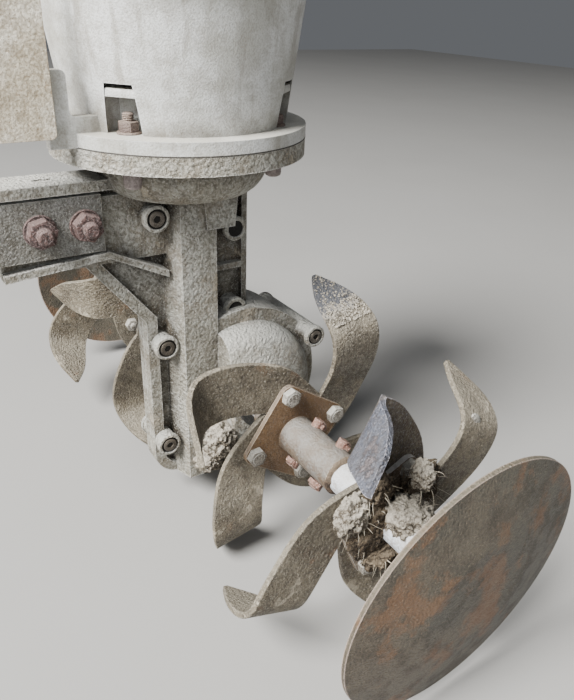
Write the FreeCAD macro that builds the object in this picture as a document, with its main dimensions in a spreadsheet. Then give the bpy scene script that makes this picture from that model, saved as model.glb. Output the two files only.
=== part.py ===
import FreeCAD
import Part
import Sketcher
import math
import os

# Lower unit of a petrol tiller: a bell housing that carries the engine, a split gear case
# with a drawbar tail, and the tine rotor that turns across its foot. Millimetres.
# X runs to the machine's right, Y forward, Z up. The origin is the middle of the engine face.

Vector = FreeCAD.Vector
Placement = FreeCAD.Placement
Rotation = FreeCAD.Rotation

# Driving sizes, in millimetres and degrees. Heights of the gear case are above the axle.
SIZES = [
    # where the two shafts run
    ("axle_ahead", 49.0),
    ("bell_height", 152.0),
    ("case_height", 263.0),
    # bell housing
    ("bell_wall", 5.5),
    ("bell_foot_radius", 93.0),
    ("bell_mouth_radius", 111.0),
    ("engine_flange_radius", 132.0),
    ("engine_flange_thick", 10.0),
    ("engine_bolt_radius", 120.5),
    ("engine_hole_radius", 4.5),
    ("joint_radius", 110.5),
    ("bell_flange_thick", 10.5),
    ("stud_circle_radius", 86.0),
    ("stud_rear_angle", 51.0),
    ("stud_front_angle", 42.0),
    ("stud_hole_radius", 4.6),
    ("pocket_radius", 16.0),
    ("pocket_height", 36.0),
    ("arm_outer", 41.0),
    ("arm_thick", 10.0),
    ("arm_reach", 123.0),
    ("arm_leg", 17.0),
    ("arm_rise", 44.0),
    ("arm_foot", 12.0),
    ("arm_root", 74.0),
    # handlebar side plates
    ("cheek_thick", 4.0),
    ("cheek_lap", 5.0),
    ("cheek_length", 92.0),
    ("cheek_foot", 8.0),
    ("cheek_height", 118.0),
    ("cheek_hole_radius", 5.25),
    ("cheek_hole_inset", 22.0),
    # gear case
    ("case_flange_thick", 15.0),
    ("bowl_radius", 78.0),
    ("bowl_round", 28.0),
    ("bowl_straight", 12.0),
    ("bowl_depth", 36.0),
    ("web_half", 4.0),
    ("seam_half", 11.0),
    ("lip_half", 20.0),
    ("lip_width", 11.0),
    ("front_lip_width", 6.0),
    ("column_half", 31.0),
    ("column_rear", 66.0),
    ("column_front", 30.0),
    ("column_flare", 8.0),
    ("case_rear", 96.0),
    ("case_shoulder", 90.0),
    ("case_foot", 97.0),
    ("case_front", 14.0),
    ("case_toe", 34.0),
    ("cross_rib_up", 129.0),
    ("cross_rib_thick", 6.0),
    ("small_boss_radius", 9.0),
    ("screw_front_inset", 18.4),
    ("small_boss_back", 8.2),
    ("small_boss_drop", 23.0),
    ("lug_half", 33.0),
    ("lug_drop", 32.0),
    ("lug_width", 40.0),
    ("corner_radius", 30.0),
    ("ring_radius", 91.0),
    ("ring_half", 30.0),
    ("dome_radius", 77.0),
    ("dome_half", 66.0),
    ("neck_radius", 32.0),
    ("seal_radius", 26.0),
    ("seal_thick", 5.0),
    ("boss_radius", 11.0),
    ("boss_half", 23.0),
    # tail of the case and its drawbar plates
    ("tail_reach", 216.0),
    ("tail_rise", 20.0),
    ("tail_top_thick", 9.0),
    ("tail_web_half", 11.0),
    ("tail_rear_depth", 66.5),
    ("tail_front_depth", 59.5),
    ("tail_foot_thick", 6.5),
    ("tail_knee_inset", 88.0),
    ("slot_length", 15.0),
    ("slot_width", 5.0),
    ("slot_inset", 44.0),
    ("plate_thick", 8.0),
    ("plate_gap", 2.5),
    ("plate_height", 49.0),
    ("plate_lap", 85.0),
    ("plate_length", 172.0),
    ("plate_bolt_inset", 15.0),
    ("plate_bolt_spacing", 37.0),
    ("plate_bolt_radius", 7.0),
    ("hitch_radius", 8.0),
    ("hitch_inset", 24.0),
    # rotor
    ("rotor_phase", 10.9),
    ("shaft_radius", 15.5),
    ("tube_radius", 18.7),
    ("tube_start", 84.0),
    ("tube_end", 203.0),
    ("shaft_joint", 168.0),
    ("hub_plate_face", 130.0),
    ("plate_steel", 4.5),
    ("hub_bolt_radius", 45.8),
    ("hub_corner", 10.0),
    ("hub_hole_radius", 6.0),
    ("outer_plate_face", 262.0),
    ("outer_star_turn", -32.4),
    ("pin_inner", 148.0),
    ("pin_outer", 185.0),
    ("pin_radius", 5.0),
    ("pin_length", 52.0),
    ("pin_angle", 45.0),
    ("tine_thick", 5.0),
    ("tine_free_start", 24.0),
    ("tine_set_run", 20.0),
    ("disc_radius", 112.0),
    ("disc_rim", 346.0),
    ("disc_depth", 14.0),
    ("disc_thick", 3.5),
    ("disc_lean", 3.0),
    # clutch drum on the input shaft
    ("drum_radius", 45.0),
    ("drum_height", 32.0),
    ("drum_wall", 4.0),
    ("drum_base", 18.0),
    ("input_radius", 10.0),
    ("fit_gap", 0.05),
    ("seat_gap", 0.3),
]

# Sizes that follow from the driving ones, as formulas of the same sheet.
DERIVED = [
    ("axle_drop", "=bell_height + case_height"),
    ("bell_mouth_under", "=bell_height - engine_flange_thick"),
    ("bell_foot_inner", "=bell_foot_radius - bell_wall"),
    ("bell_mouth_inner", "=bell_mouth_radius - bell_wall"),
    ("arm_inner", "=arm_outer - arm_thick"),
    ("arm_leg_front", "=arm_reach - arm_leg"),
    ("arm_foot_top", "=bell_flange_thick + arm_foot"),
    ("arm_top", "=bell_flange_thick + arm_rise"),
    ("cheek_top", "=cheek_foot + cheek_height"),
    ("cheek_front", "=arm_reach - cheek_lap"),
    ("cheek_rear", "=cheek_front + cheek_length"),
    ("case_flange_under", "=case_height - case_flange_thick"),
    ("bowl_bend", "=case_height - case_flange_thick - bowl_straight"),
    ("bowl_floor", "=case_height - case_flange_thick - bowl_depth"),
    ("web_top", "=bowl_floor + 8"),
    ("tail_top", "=bowl_floor + tail_rise"),
    ("tail_top_under", "=tail_top - tail_top_thick"),
    ("tail_foot_rear", "=tail_top_under - tail_rear_depth"),
    ("tail_foot_front", "=tail_top_under - tail_front_depth"),
    ("tail_knee", "=tail_reach - tail_knee_inset"),
    ("plate_top", "=tail_top_under - plate_gap"),
    ("plate_front", "=tail_reach - plate_lap"),
    ("case_knee", "=tail_knee + lip_half"),
    ("column_rear_wide", "=column_rear + column_flare"),
    ("column_front_wide", "=column_front - column_flare / 2"),
    ("tail_foot_rear_top", "=tail_foot_rear + tail_foot_thick"),
    ("tail_foot_front_top", "=tail_foot_front + tail_foot_thick"),
    ("plate_foot", "=plate_top - plate_height"),
    ("plate_rear", "=plate_front + plate_length"),
    ("hub_plate_back", "=hub_plate_face - plate_steel"),
    ("outer_plate_back", "=outer_plate_face - plate_steel"),
    ("tube_bore", "=shaft_radius + fit_gap"),
    ("rear_run", "=case_knee - case_rear"),
    ("rear_rise", "=tail_foot_rear - case_shoulder"),
    ("rear_slant", "=sqrt(rear_run * rear_run + rear_rise * rear_rise)"),
    ("front_run", "=case_front + case_toe"),
    ("front_rise", "=case_foot - column_rear"),
    ("front_slant", "=sqrt(front_run * front_run + front_rise * front_rise)"),
    ("hollow_top", "=web_top + lip_width"),
    ("inner_front", "=case_front - front_lip_width"),
    ("inner_rear", "=case_rear - lip_width"),
    ("inner_foot", "=case_foot - lip_width"),
    ("inner_corner", "=corner_radius - lip_width"),
    ("inner_shoulder", "=case_shoulder + lip_width * (rear_slant - rear_rise) / rear_run"),
    ("inner_knee", "=case_knee + lip_width"),
    ("inner_knee_up", "=inner_shoulder + (inner_knee - inner_rear) * rear_rise / rear_run"),
    ("inner_toe", "=case_toe + lip_width * (front_slant - front_run) / front_rise"),
    ("inner_front_foot", "=column_rear - lip_width * (front_slant - front_rise) / front_run"),
    ("dome_shoulder", "=ring_half + (dome_half - ring_half) * 0.6"),
    ("dome_round", "=(dome_half - ring_half) * 0.7"),
    ("column_rise", "=case_foot + bowl_floor + 5"),
    ("tail_web_length", "=tail_reach - column_rear"),
    ("tail_web_height", "=tail_top_under - tail_foot_front"),
    ("tail_cap_length", "=tail_reach - axle_ahead - bowl_radius + bowl_round"),
    ("rib_foot", "=tail_foot_front - (tail_knee - column_rear_wide) * 0.5"),
    ("rib_top", "=tail_foot_front + tail_foot_thick - (tail_knee - column_rear_wide) * 0.5"),
    ("case_bore_radius", "=shaft_radius + 2"),
    ("plate_bolt_front", "=plate_front + plate_bolt_inset"),
    ("plate_bolt_rear", "=plate_front + plate_bolt_inset + plate_bolt_spacing"),
    ("plate_middle", "=plate_top - plate_height / 2"),
    ("slot_half", "=slot_width / 2"),
    ("slot_rear", "=tail_reach - slot_inset + slot_length / 2"),
    ("stud_rear_x", "=stud_circle_radius * cos(stud_rear_angle * 1deg)"),
    ("stud_rear_y", "=-stud_circle_radius * sin(stud_rear_angle * 1deg)"),
    ("stud_front_x", "=stud_circle_radius * cos(stud_front_angle * 1deg)"),
    ("stud_front_y", "=stud_circle_radius * sin(stud_front_angle * 1deg)"),
    ("stud_rear_case_y", "=stud_rear_y - axle_ahead"),
    ("stud_front_case_y", "=stud_front_y - axle_ahead"),
    ("screw_top_y", "=case_rear - boss_radius"),
    ("screw_top_z", "=bowl_floor - boss_radius - 7"),
    ("screw_mid_y", "=column_rear_wide + boss_radius * 0.7"),
    ("screw_mid_z", "=case_shoulder - 25"),
    ("screw_low_y", "=column_rear_wide + boss_radius"),
    ("screw_low_z", "=case_foot - 48"),
    ("screw_front_y", "=screw_front_inset - case_front"),
    ("screw_front_z", "=bowl_floor - 39"),
    ("screw_web_z", "=ring_radius - 2"),
    ("small_screw_y", "=screw_front_y + small_boss_back"),
    ("small_screw_z", "=screw_web_z - small_boss_drop"),
    ("link_top_rear", "=screw_front_y + boss_radius"),
    ("link_top_front", "=boss_radius - screw_front_y"),
    ("link_foot_rear", "=small_screw_y + small_boss_radius"),
    ("link_foot_front", "=small_boss_radius - small_screw_y"),
    ("rib_width", "=column_front_wide + case_front"),
    ("lug_foot", "=bowl_floor - lug_drop"),
    ("lug_rear", "=column_front_wide + lug_width / 2"),
    ("lug_rear_foot", "=lug_rear - boss_radius / 2"),
    ("lug_front", "=lug_width / 2 - column_front_wide"),
    ("lug_front_foot", "=lug_front - boss_radius / 2"),
    ("cover_depth", "=ring_radius * 2"),
    ("cover_back", "=column_front + ring_radius"),
    ("screw_ring_y", "=ring_radius * 0.83"),
    ("screw_ring_z", "=ring_radius * 0.56"),
    ("hub_reach", "=hub_bolt_radius + hub_corner * 1.4142"),
    ("tube_length", "=tube_end - tube_start"),
    ("outer_tube_start", "=shaft_joint + seat_gap"),
    ("outer_tube_end", "=disc_rim + disc_depth - disc_thick - seat_gap - shaft_radius * sin(disc_lean * 1deg)"),
    ("outer_tube_length", "=outer_tube_end - outer_tube_start"),
    ("shaft_length", "=shaft_joint * 2"),
    ("pin_hole_radius", "=pin_radius + fit_gap"),
    ("hitch_y", "=plate_front + plate_length - hitch_inset"),
    ("drum_top", "=drum_base + drum_height"),
    ("drum_inner", "=drum_radius - drum_wall"),
    ("drum_floor", "=drum_base + drum_wall"),
    ("seal_bore", "=shaft_radius + fit_gap"),
    ("pocket_wall_radius", "=pocket_radius + bell_wall"),
    ("pocket_wall_top", "=bell_flange_thick + pocket_height + bell_wall"),
    ("arm_round", "=arm_leg / 4"),
    ("cheek_hole_y", "=cheek_front + cheek_length - cheek_hole_inset"),
    ("cheek_hole_low", "=cheek_foot + cheek_hole_inset"),
    ("cheek_hole_high", "=cheek_foot + cheek_height - cheek_hole_inset"),
    ("plate_round", "=plate_height / 3"),
    ("disc_crown_inner", "=disc_depth - disc_thick"),
    ("disc_flat", "=disc_radius * 0.45"),
]

doc = FreeCAD.newDocument("tiller_gear_unit")
sheet = doc.addObject("Spreadsheet::Sheet", "Sizes")
for row, (name, value) in enumerate(SIZES + DERIVED, start=1):
    sheet.set("A%d" % row, name)
    sheet.set("B%d" % row, str(value))
    sheet.setAlias("B%d" % row, name)
doc.recompute()

# Directions of the document's own sketches
UPRIGHT_SIDE = Rotation(Vector(1, 1, 1), 120)
ALONG_X = Vector(1, 0, 0)
ALONG_Z = Vector(0, 0, 1)
subparts = []


def size(name):
    """Value of a cell, with a leading minus sign allowed."""
    if name.startswith("-"):
        return -size(name[1:])
    return 0.0 if name == "0" else float(sheet.get(name))


def cell(name):
    """The same cell as an expression."""
    if name.startswith("-"):
        return "-" + cell(name[1:])
    return "0" if name == "0" else "Sizes." + name


def keep(shape_object, label):
    """Name a finished sub-part."""
    shape_object.Label = label
    subparts.append(shape_object)
    return shape_object


def made(kind, name, **bound):
    """A document object whose properties are bound to cells or set outright."""
    thing = doc.addObject(kind, name)
    for key, value in bound.items():
        if isinstance(value, str):
            thing.setExpression(key.replace("_", "."), value)
        else:
            setattr(thing, key, value)
    return thing


def place(thing, x="0", y="0", z="0", turn=None):
    """Put an object at cells x, y, z, turned by a fixed rotation."""
    if turn is not None:
        thing.Placement = Placement(Vector(), turn)
    for axis, name in zip("xyz", (x, y, z)):
        if name != "0":
            thing.setExpression("Placement.Base." + axis, cell(name))
    return thing


def on_axle(thing):
    """Move a thing modelled about the axle to where the axle runs."""
    return place(thing, y="axle_ahead", z="-axle_drop")


def outline(sketch, corners):
    """Close a sketch through corners of (across, up) or (across, up, radius) cells."""
    points = [Vector(size(c[0]), size(c[1]), 0) for c in corners]
    count = len(points)
    starts = list(points)
    ends = list(points)
    arcs = {}
    for i, corner in enumerate(corners):
        if len(corner) < 3:
            continue
        radius = size(corner[2])
        back = (points[i - 1] - points[i]).normalize()
        ahead = (points[(i + 1) % count] - points[i]).normalize()
        half = back.getAngle(ahead) / 2
        starts[i] = points[i] + back * (radius / math.tan(half))
        ends[i] = points[i] + ahead * (radius / math.tan(half))
        middle = points[i] + (back + ahead).normalize() * (radius / math.sin(half))
        left_turn = ahead.cross(back).z > 0
        first, last = (starts[i], ends[i]) if left_turn else (ends[i], starts[i])
        turn_from = math.atan2(first.y - middle.y, first.x - middle.x)
        turn_to = math.atan2(last.y - middle.y, last.x - middle.x)
        circle = Part.Circle(middle, Vector(0, 0, 1), radius)
        arcs[i] = (Part.ArcOfCircle(circle, turn_from, turn_to), left_turn)
    base = sketch.GeometryCount
    for i in range(count):
        sketch.addGeometry(Part.LineSegment(ends[i], starts[(i + 1) % count]), False)
    for i, corner in enumerate(corners):
        line_in = base + (i - 1) % count
        line_out = base + i
        if i in arcs:
            arc, left_turn = arcs[i]
            arc_id = sketch.addGeometry(arc, False)
            near, far = (1, 2) if left_turn else (2, 1)
            sketch.addConstraint(Sketcher.Constraint("Tangent", line_in, 2, arc_id, near))
            sketch.addConstraint(Sketcher.Constraint("Tangent", arc_id, far, line_out, 1))
            limit = sketch.addConstraint(Sketcher.Constraint("Radius", arc_id, size(corner[2])))
            sketch.setExpression("Constraints[%d]" % limit, cell(corner[2]))
            held = sketch.addGeometry(Part.Point(points[i]), True)
            sketch.addConstraint(Sketcher.Constraint("PointOnObject", held, 1, line_in))
            sketch.addConstraint(Sketcher.Constraint("PointOnObject", held, 1, line_out))
        else:
            held = line_out
            sketch.addConstraint(Sketcher.Constraint("Coincident", line_in, 2, line_out, 1))
        for kind, name in (("DistanceX", corner[0]), ("DistanceY", corner[1])):
            limit = sketch.addConstraint(Sketcher.Constraint(kind, -1, 1, held, 1, size(name)))
            if name != "0":
                sketch.setExpression("Constraints[%d]" % limit, cell(name))


def ring(sketch, radius, across="0", up="0"):
    """A circle about the point (across, up)."""
    centre = Vector(size(across), size(up), 0)
    circle_id = sketch.addGeometry(Part.Circle(centre, Vector(0, 0, 1), size(radius)), False)
    limit = sketch.addConstraint(Sketcher.Constraint("Radius", circle_id, size(radius)))
    sketch.setExpression("Constraints[%d]" % limit, cell(radius))
    for kind, name in (("DistanceX", across), ("DistanceY", up)):
        limit = sketch.addConstraint(Sketcher.Constraint(kind, -1, 1, circle_id, 3, size(name)))
        if name != "0":
            sketch.setExpression("Constraints[%d]" % limit, cell(name))


def plane_sketch(body, role, offset="0"):
    """A sketch on one of the body's own planes, moved off it by a cell."""
    sketch = body.newObject("Sketcher::SketchObject", body.Name + "_sketch")
    plane = [f for f in body.Origin.OriginFeatures if f.Role == role][0]
    sketch.AttachmentSupport = [(plane, "")]
    sketch.MapMode = "FlatFace"
    if offset != "0":
        sketch.setExpression("AttachmentOffset.Base.z", cell(offset))
    return sketch


def pad(body, sketch, length, backwards=False):
    feature = body.newObject("PartDesign::Pad", body.Name + "_pad")
    feature.Profile = sketch
    feature.setExpression("Length", cell(length))
    feature.Reversed = backwards
    return feature


def pocket(body, sketch, length, backwards=False):
    feature = body.newObject("PartDesign::Pocket", body.Name + "_pocket")
    feature.Profile = sketch
    feature.setExpression("Length", cell(length))
    feature.Reversed = backwards
    return feature


def turned(body, sketch, role="Z_Axis", angle=360):
    """Revolve a sketch about one of the body's axes."""
    feature = body.newObject("PartDesign::Revolution", body.Name + "_turned")
    feature.Profile = sketch
    axis = [f for f in body.Origin.OriginFeatures if f.Role == role][0]
    feature.ReferenceAxis = (axis, [""])
    feature.Angle = angle
    return feature


def section(name, corners, turn, x="0", y="0", z="0"):
    """A closed sketch of its own, standing in the document."""
    sketch = doc.addObject("Sketcher::SketchObject", name)
    outline(sketch, corners)
    return place(sketch, x, y, z, turn)


def drawn_out(name, sketch, direction, length, start="0"):
    """Extrude a sketch along direction, from one cell's distance to another's."""
    solid = doc.addObject("Part::Extrusion", name)
    solid.Base = sketch
    solid.DirMode = "Custom"
    solid.Dir = direction
    solid.Solid = True
    solid.setExpression("LengthFwd", cell(length))
    if start != "0":
        solid.setExpression("LengthRev", "-" + cell(start))
    return solid


def rod(name, radius, length, x="0", y="0", z="0"):
    """A cylinder along X from the point x, y, z."""
    solid = made("Part::Cylinder", name, Radius=cell(radius), Height=cell(length))
    return place(solid, x, y, z, Rotation(Vector(0, 1, 0), 90))


def mirrored(source, label):
    """The left-hand counterpart of a right-hand piece."""
    twin = doc.addObject("Part::Mirroring", label)
    twin.Source = source
    twin.Normal = Vector(1, 0, 0)
    return keep(twin, label)


def fused(name, pieces):
    joined = doc.addObject("Part::MultiFuse", name)
    joined.Shapes = pieces
    return joined


def cut(name, base, tool):
    result = doc.addObject("Part::Cut", name)
    result.Base = base
    result.Tool = tool
    return result


# Screws that draw the two halves together: across, up, boss radius, boss height
CASE_SCREWS = [
    ("-screw_top_y", "screw_top_z", "boss_radius", "boss_half"),
    ("-screw_mid_y", "screw_mid_z", "boss_radius", "boss_half"),
    ("-screw_low_y", "-screw_low_z", "boss_radius", "boss_half"),
    ("-screw_front_y", "screw_front_z", "boss_radius", "lip_half"),
    ("-screw_front_y", "screw_web_z", "boss_radius", "lip_half"),
    ("-small_screw_y", "small_screw_z", "small_boss_radius", "lip_half"),
    ("screw_ring_y", "screw_ring_z", "boss_radius", "dome_shoulder"),
]


def case_shell():
    """Right half of the gear case, split from its twin on the machine's centre plane."""
    outer = section("case_outline", [
        ("case_front", "web_top"),
        ("-case_knee", "web_top"),
        ("-case_knee", "tail_foot_rear"),
        ("-case_rear", "case_shoulder", "boss_radius"),
        ("-case_rear", "-case_foot", "corner_radius"),
        ("-case_toe", "-case_foot", "boss_radius"),
        ("case_front", "-column_rear"),
    ], UPRIGHT_SIDE)
    slab = drawn_out("case_slab", outer, ALONG_X, "seam_half")
    inner = section("case_inner", [
        ("inner_front", "hollow_top"),
        ("-inner_knee", "hollow_top"),
        ("-inner_knee", "inner_knee_up"),
        ("-inner_rear", "inner_shoulder"),
        ("-inner_rear", "-inner_foot", "inner_corner"),
        ("-inner_toe", "-inner_foot"),
        ("inner_front", "-inner_front_foot"),
    ], UPRIGHT_SIDE)
    hollow = drawn_out("case_hollow", inner, ALONG_X, "boss_half", "web_half")
    dished = cut("case_dished", slab, hollow)

    column = drawn_out("case_column", section("column_section", [
        ("0", "-column_rear_wide"),
        ("web_half", "-column_rear_wide"),
        ("column_half", "-column_rear"),
        ("column_half", "-column_front"),
        ("web_half", "-column_front_wide"),
        ("0", "-column_front_wide"),
    ], Rotation(), z="-case_foot"), ALONG_Z, "column_rise")

    bowl_sketch = section("bowl_section", [
        ("0", "case_height"),
        ("joint_radius", "case_height"),
        ("joint_radius", "case_flange_under"),
        ("bowl_radius", "case_flange_under"),
        ("bowl_radius", "bowl_floor", "bowl_round"),
        ("0", "bowl_floor"),
    ], UPRIGHT_SIDE, y="-axle_ahead")
    bowl = doc.addObject("Part::Revolution", "case_bowl")
    bowl.Source = bowl_sketch
    bowl.Axis = ALONG_Z
    bowl.Angle = -180
    bowl.Solid = True
    bowl.setExpression("Base.y", cell("-axle_ahead"))

    rim = rod("case_ring", "ring_radius", "ring_half")
    dome_sketch = section("dome_section", [
        ("0", "0"),
        ("0", "dome_radius"),
        ("dome_shoulder", "dome_radius", "dome_round"),
        ("dome_half", "neck_radius", "boss_radius"),
        ("dome_half", "0"),
    ], Rotation(Vector(1, 0, 0), 90))
    dome = doc.addObject("Part::Revolution", "case_dome")
    dome.Source = dome_sketch
    dome.Axis = ALONG_X
    dome.Angle = 360
    dome.Solid = True
    behind = made("Part::Box", "behind_cover", Length=cell("dome_half"),
                  Width=cell("ring_radius"), Height=cell("cover_depth"))
    place(behind, y="-cover_back", z="-ring_radius")
    cover = cut("wheel_cover", fused("wheel_cover_round", [rim, dome]), behind)
    neck = rod("case_neck", "neck_radius", "dome_half")

    rib = made("Part::Box", "cross_rib", Length=cell("seam_half"),
               Width=cell("rib_width"), Height=cell("cross_rib_thick"))
    place(rib, y="-column_front_wide", z="cross_rib_up")
    link = drawn_out("boss_link", section("boss_link_section", [
        ("-link_top_rear", "screw_web_z"),
        ("link_top_front", "screw_web_z"),
        ("link_foot_front", "small_screw_z"),
        ("-link_foot_rear", "small_screw_z"),
    ], UPRIGHT_SIDE), ALONG_X, "lip_half")
    lug = drawn_out("bowl_lug", section("bowl_lug_section", [
        ("-lug_rear", "bowl_bend"),
        ("-lug_rear_foot", "lug_foot"),
        ("lug_front_foot", "lug_foot"),
        ("lug_front", "bowl_bend"),
    ], UPRIGHT_SIDE), ALONG_X, "lug_half")

    tail_web = made("Part::Box", "tail_web", Length=cell("tail_web_half"),
                    Width=cell("tail_web_length"), Height=cell("tail_web_height"))
    place(tail_web, y="-tail_reach", z="tail_foot_rear")
    tail_cap = made("Part::Box", "tail_cap", Length=cell("lip_half"),
                    Width=cell("tail_cap_length"), Height=cell("tail_top_thick"))
    place(tail_cap, y="-tail_reach", z="tail_top_under")
    tail_foot = drawn_out("tail_foot", section("tail_foot_section", [
        ("-tail_reach", "tail_foot_rear"),
        ("-tail_knee", "tail_foot_front"),
        ("-column_rear_wide", "rib_foot"),
        ("-column_rear_wide", "rib_top"),
        ("-tail_knee", "tail_foot_front_top"),
        ("-tail_reach", "tail_foot_rear_top"),
    ], UPRIGHT_SIDE), ALONG_X, "lip_half")

    bosses = []
    for number, (across, up, radius, reach) in enumerate(CASE_SCREWS):
        bosses.append(rod("case_boss_%d" % number, radius, reach, y=across, z=up))
    body = fused("case_body", [dished, column, bowl, cover, neck, rib, link, lug,
                               tail_web, tail_cap, tail_foot] + bosses)

    tools = [rod("case_bore", "case_bore_radius", "dome_half")]
    for number in range(2):
        tools.append(rod("tail_bolt_%d" % number, "plate_bolt_radius", "lip_half",
                         y=("-plate_bolt_rear", "-plate_bolt_front")[number], z="plate_middle"))
    slot = made("Part::Box", "tail_slot", Length=cell("slot_half"),
                Width=cell("slot_length"), Height=cell("case_flange_thick"))
    tools.append(place(slot, y="-slot_rear", z="tail_top_under"))
    for number, side in enumerate(("rear", "front")):
        stud = made("Part::Cylinder", "stud_hole_%d" % number, Radius=cell("stud_hole_radius"),
                    Height=cell("case_flange_thick"))
        tools.append(place(stud, "stud_%s_x" % side, "stud_%s_case_y" % side, "case_flange_under"))
    shell = cut("case_right", body, fused("case_tools", tools))
    return on_axle(shell)


# Studs of the joint between bell and gear case: across, along
STUDS = [
    ("stud_rear_x", "stud_rear_y"),
    ("-stud_rear_x", "stud_rear_y"),
    ("stud_front_x", "stud_front_y"),
    ("-stud_front_x", "stud_front_y"),
]


def bell_housing():
    """Cast bell with its engine flange, its joint flange and the two arms at its rear."""
    body = doc.addObject("PartDesign::Body", "bell")
    profile = plane_sketch(body, "XZ_Plane")
    outline(profile, [
        ("0", "0"),
        ("joint_radius", "0"),
        ("joint_radius", "bell_flange_thick"),
        ("bell_foot_radius", "bell_flange_thick"),
        ("bell_mouth_radius", "bell_mouth_under"),
        ("engine_flange_radius", "bell_mouth_under"),
        ("engine_flange_radius", "bell_height"),
        ("0", "bell_height"),
    ])
    turned(body, profile)
    arm = drawn_out("bell_arm", section("arm_section", [
        ("-arm_root", "0"),
        ("-arm_reach", "0"),
        ("-arm_reach", "arm_top", "arm_round"),
        ("-arm_leg_front", "arm_top", "arm_round"),
        ("-arm_leg_front", "arm_foot_top", "arm_round"),
        ("-arm_root", "arm_foot_top"),
    ], UPRIGHT_SIDE), ALONG_X, "arm_outer", "arm_inner")
    other_arm = doc.addObject("Part::Mirroring", "bell_arm_left")
    other_arm.Source = arm
    other_arm.Normal = ALONG_X
    whole = fused("bell_whole", [body, arm, other_arm])
    inside = made("Part::Cone", "bell_inside", Radius1=cell("bell_foot_inner"),
                  Radius2=cell("bell_mouth_inner"), Height=cell("bell_height"))
    tools = []
    pocket_walls = []
    for number, (across, along) in enumerate(STUDS):
        wall = made("Part::Cylinder", "pocket_wall_%d" % number, Radius=cell("pocket_wall_radius"),
                    Height=cell("pocket_wall_top"))
        pocket_walls.append(place(wall, across, along))
        hole = made("Part::Cylinder", "stud_%d" % number, Radius=cell("stud_hole_radius"),
                    Height=cell("bell_flange_thick"))
        tools.append(place(hole, across, along))
        hollow = made("Part::Cylinder", "pocket_%d" % number, Radius=cell("pocket_radius"),
                      Height=cell("pocket_height"))
        tools.append(place(hollow, across, along, "bell_flange_thick"))
    tools.append(cut("bell_hollow", inside, fused("pocket_walls", pocket_walls)))
    for x, y in (("1", "0"), ("0", "1"), ("-1", "0"), ("0", "-1")):
        hole = made("Part::Cylinder", "engine_hole", Radius=cell("engine_hole_radius"),
                    Height=cell("engine_flange_thick"))
        place(hole, z="bell_mouth_under")
        hole.setExpression("Placement.Base.x", x + " * Sizes.engine_bolt_radius")
        hole.setExpression("Placement.Base.y", y + " * Sizes.engine_bolt_radius")
        tools.append(hole)
    bell = cut("bell_cut", whole, fused("bell_tools", tools))
    keep(place(bell, z="-bell_height"), "bell_housing")


def side_cheek():
    """Steel plate outside each arm, where the handlebar is bolted on."""
    body = doc.addObject("PartDesign::Body", "cheek")
    sheet_steel = plane_sketch(body, "YZ_Plane")
    outline(sheet_steel, [
        ("-cheek_front", "cheek_foot", "arm_round"),
        ("-cheek_front", "cheek_top", "arm_round"),
        ("-cheek_rear", "cheek_top", "arm_round"),
        ("-cheek_rear", "cheek_foot", "arm_round"),
    ])
    for up in ("cheek_hole_low", "cheek_hole_high"):
        ring(sheet_steel, "cheek_hole_radius", "-cheek_hole_y", up)
    pad(body, sheet_steel, "cheek_thick")
    keep(place(body, x="arm_outer", z="-bell_height"), "handlebar_cheek_right")
    mirrored(body, "handlebar_cheek_left")


def drawbar_plate():
    """Steel plate bolted to the tail, bored at its free end for the drawbar pin."""
    body = doc.addObject("PartDesign::Body", "drawbar")
    flat = plane_sketch(body, "YZ_Plane")
    outline(flat, [
        ("-plate_front", "plate_foot"),
        ("-plate_front", "plate_top"),
        ("-plate_rear", "plate_top", "plate_round"),
        ("-plate_rear", "plate_foot", "plate_round"),
    ])
    ring(flat, "plate_bolt_radius", "-plate_bolt_front", "plate_middle")
    ring(flat, "plate_bolt_radius", "-plate_bolt_rear", "plate_middle")
    ring(flat, "hitch_radius", "-hitch_y", "plate_middle")
    pad(body, flat, "plate_thick")
    place(body, x="tail_web_half", y="axle_ahead", z="-axle_drop")
    keep(body, "drawbar_plate_right")
    mirrored(body, "drawbar_plate_left")


def shaft_seal():
    """Seal ring pressed on the neck of the housing, round the rotor shaft."""
    body = doc.addObject("PartDesign::Body", "seal")
    flat = plane_sketch(body, "YZ_Plane")
    ring(flat, "seal_radius")
    ring(flat, "seal_bore")
    pad(body, flat, "seal_thick")
    place(body, x="dome_half", y="axle_ahead", z="-axle_drop")
    keep(body, "shaft_seal_right")
    mirrored(body, "shaft_seal_left")


def clutch_drum():
    """Clutch drum on the input shaft, open towards the engine."""
    body = doc.addObject("PartDesign::Body", "drum")
    profile = plane_sketch(body, "XZ_Plane")
    outline(profile, [
        ("0", "seat_gap"),
        ("input_radius", "seat_gap"),
        ("input_radius", "drum_base"),
        ("drum_radius", "drum_base"),
        ("drum_radius", "drum_top"),
        ("drum_inner", "drum_top"),
        ("drum_inner", "drum_floor"),
        ("0", "drum_floor"),
    ])
    turned(body, profile)
    keep(place(body, z="-bell_height"), "clutch_drum")


ROTOR = Placement(Vector(0, size("axle_ahead"), -size("axle_drop")),
                  Rotation(ALONG_X, size("rotor_phase")))


def star_plate(body, start, thick):
    """Square plate with round corners and a bolt hole in each."""
    flat = plane_sketch(body, "YZ_Plane", start)
    outline(flat, [
        ("hub_reach", "0", "hub_corner"),
        ("0", "hub_reach", "hub_corner"),
        ("-hub_reach", "0", "hub_corner"),
        ("0", "-hub_reach", "hub_corner"),
    ])
    for across, up in (("hub_bolt_radius", "0"), ("0", "hub_bolt_radius"),
                       ("-hub_bolt_radius", "0"), ("0", "-hub_bolt_radius")):
        ring(flat, "hub_hole_radius", across, up)
    pad(body, flat, thick)


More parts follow.
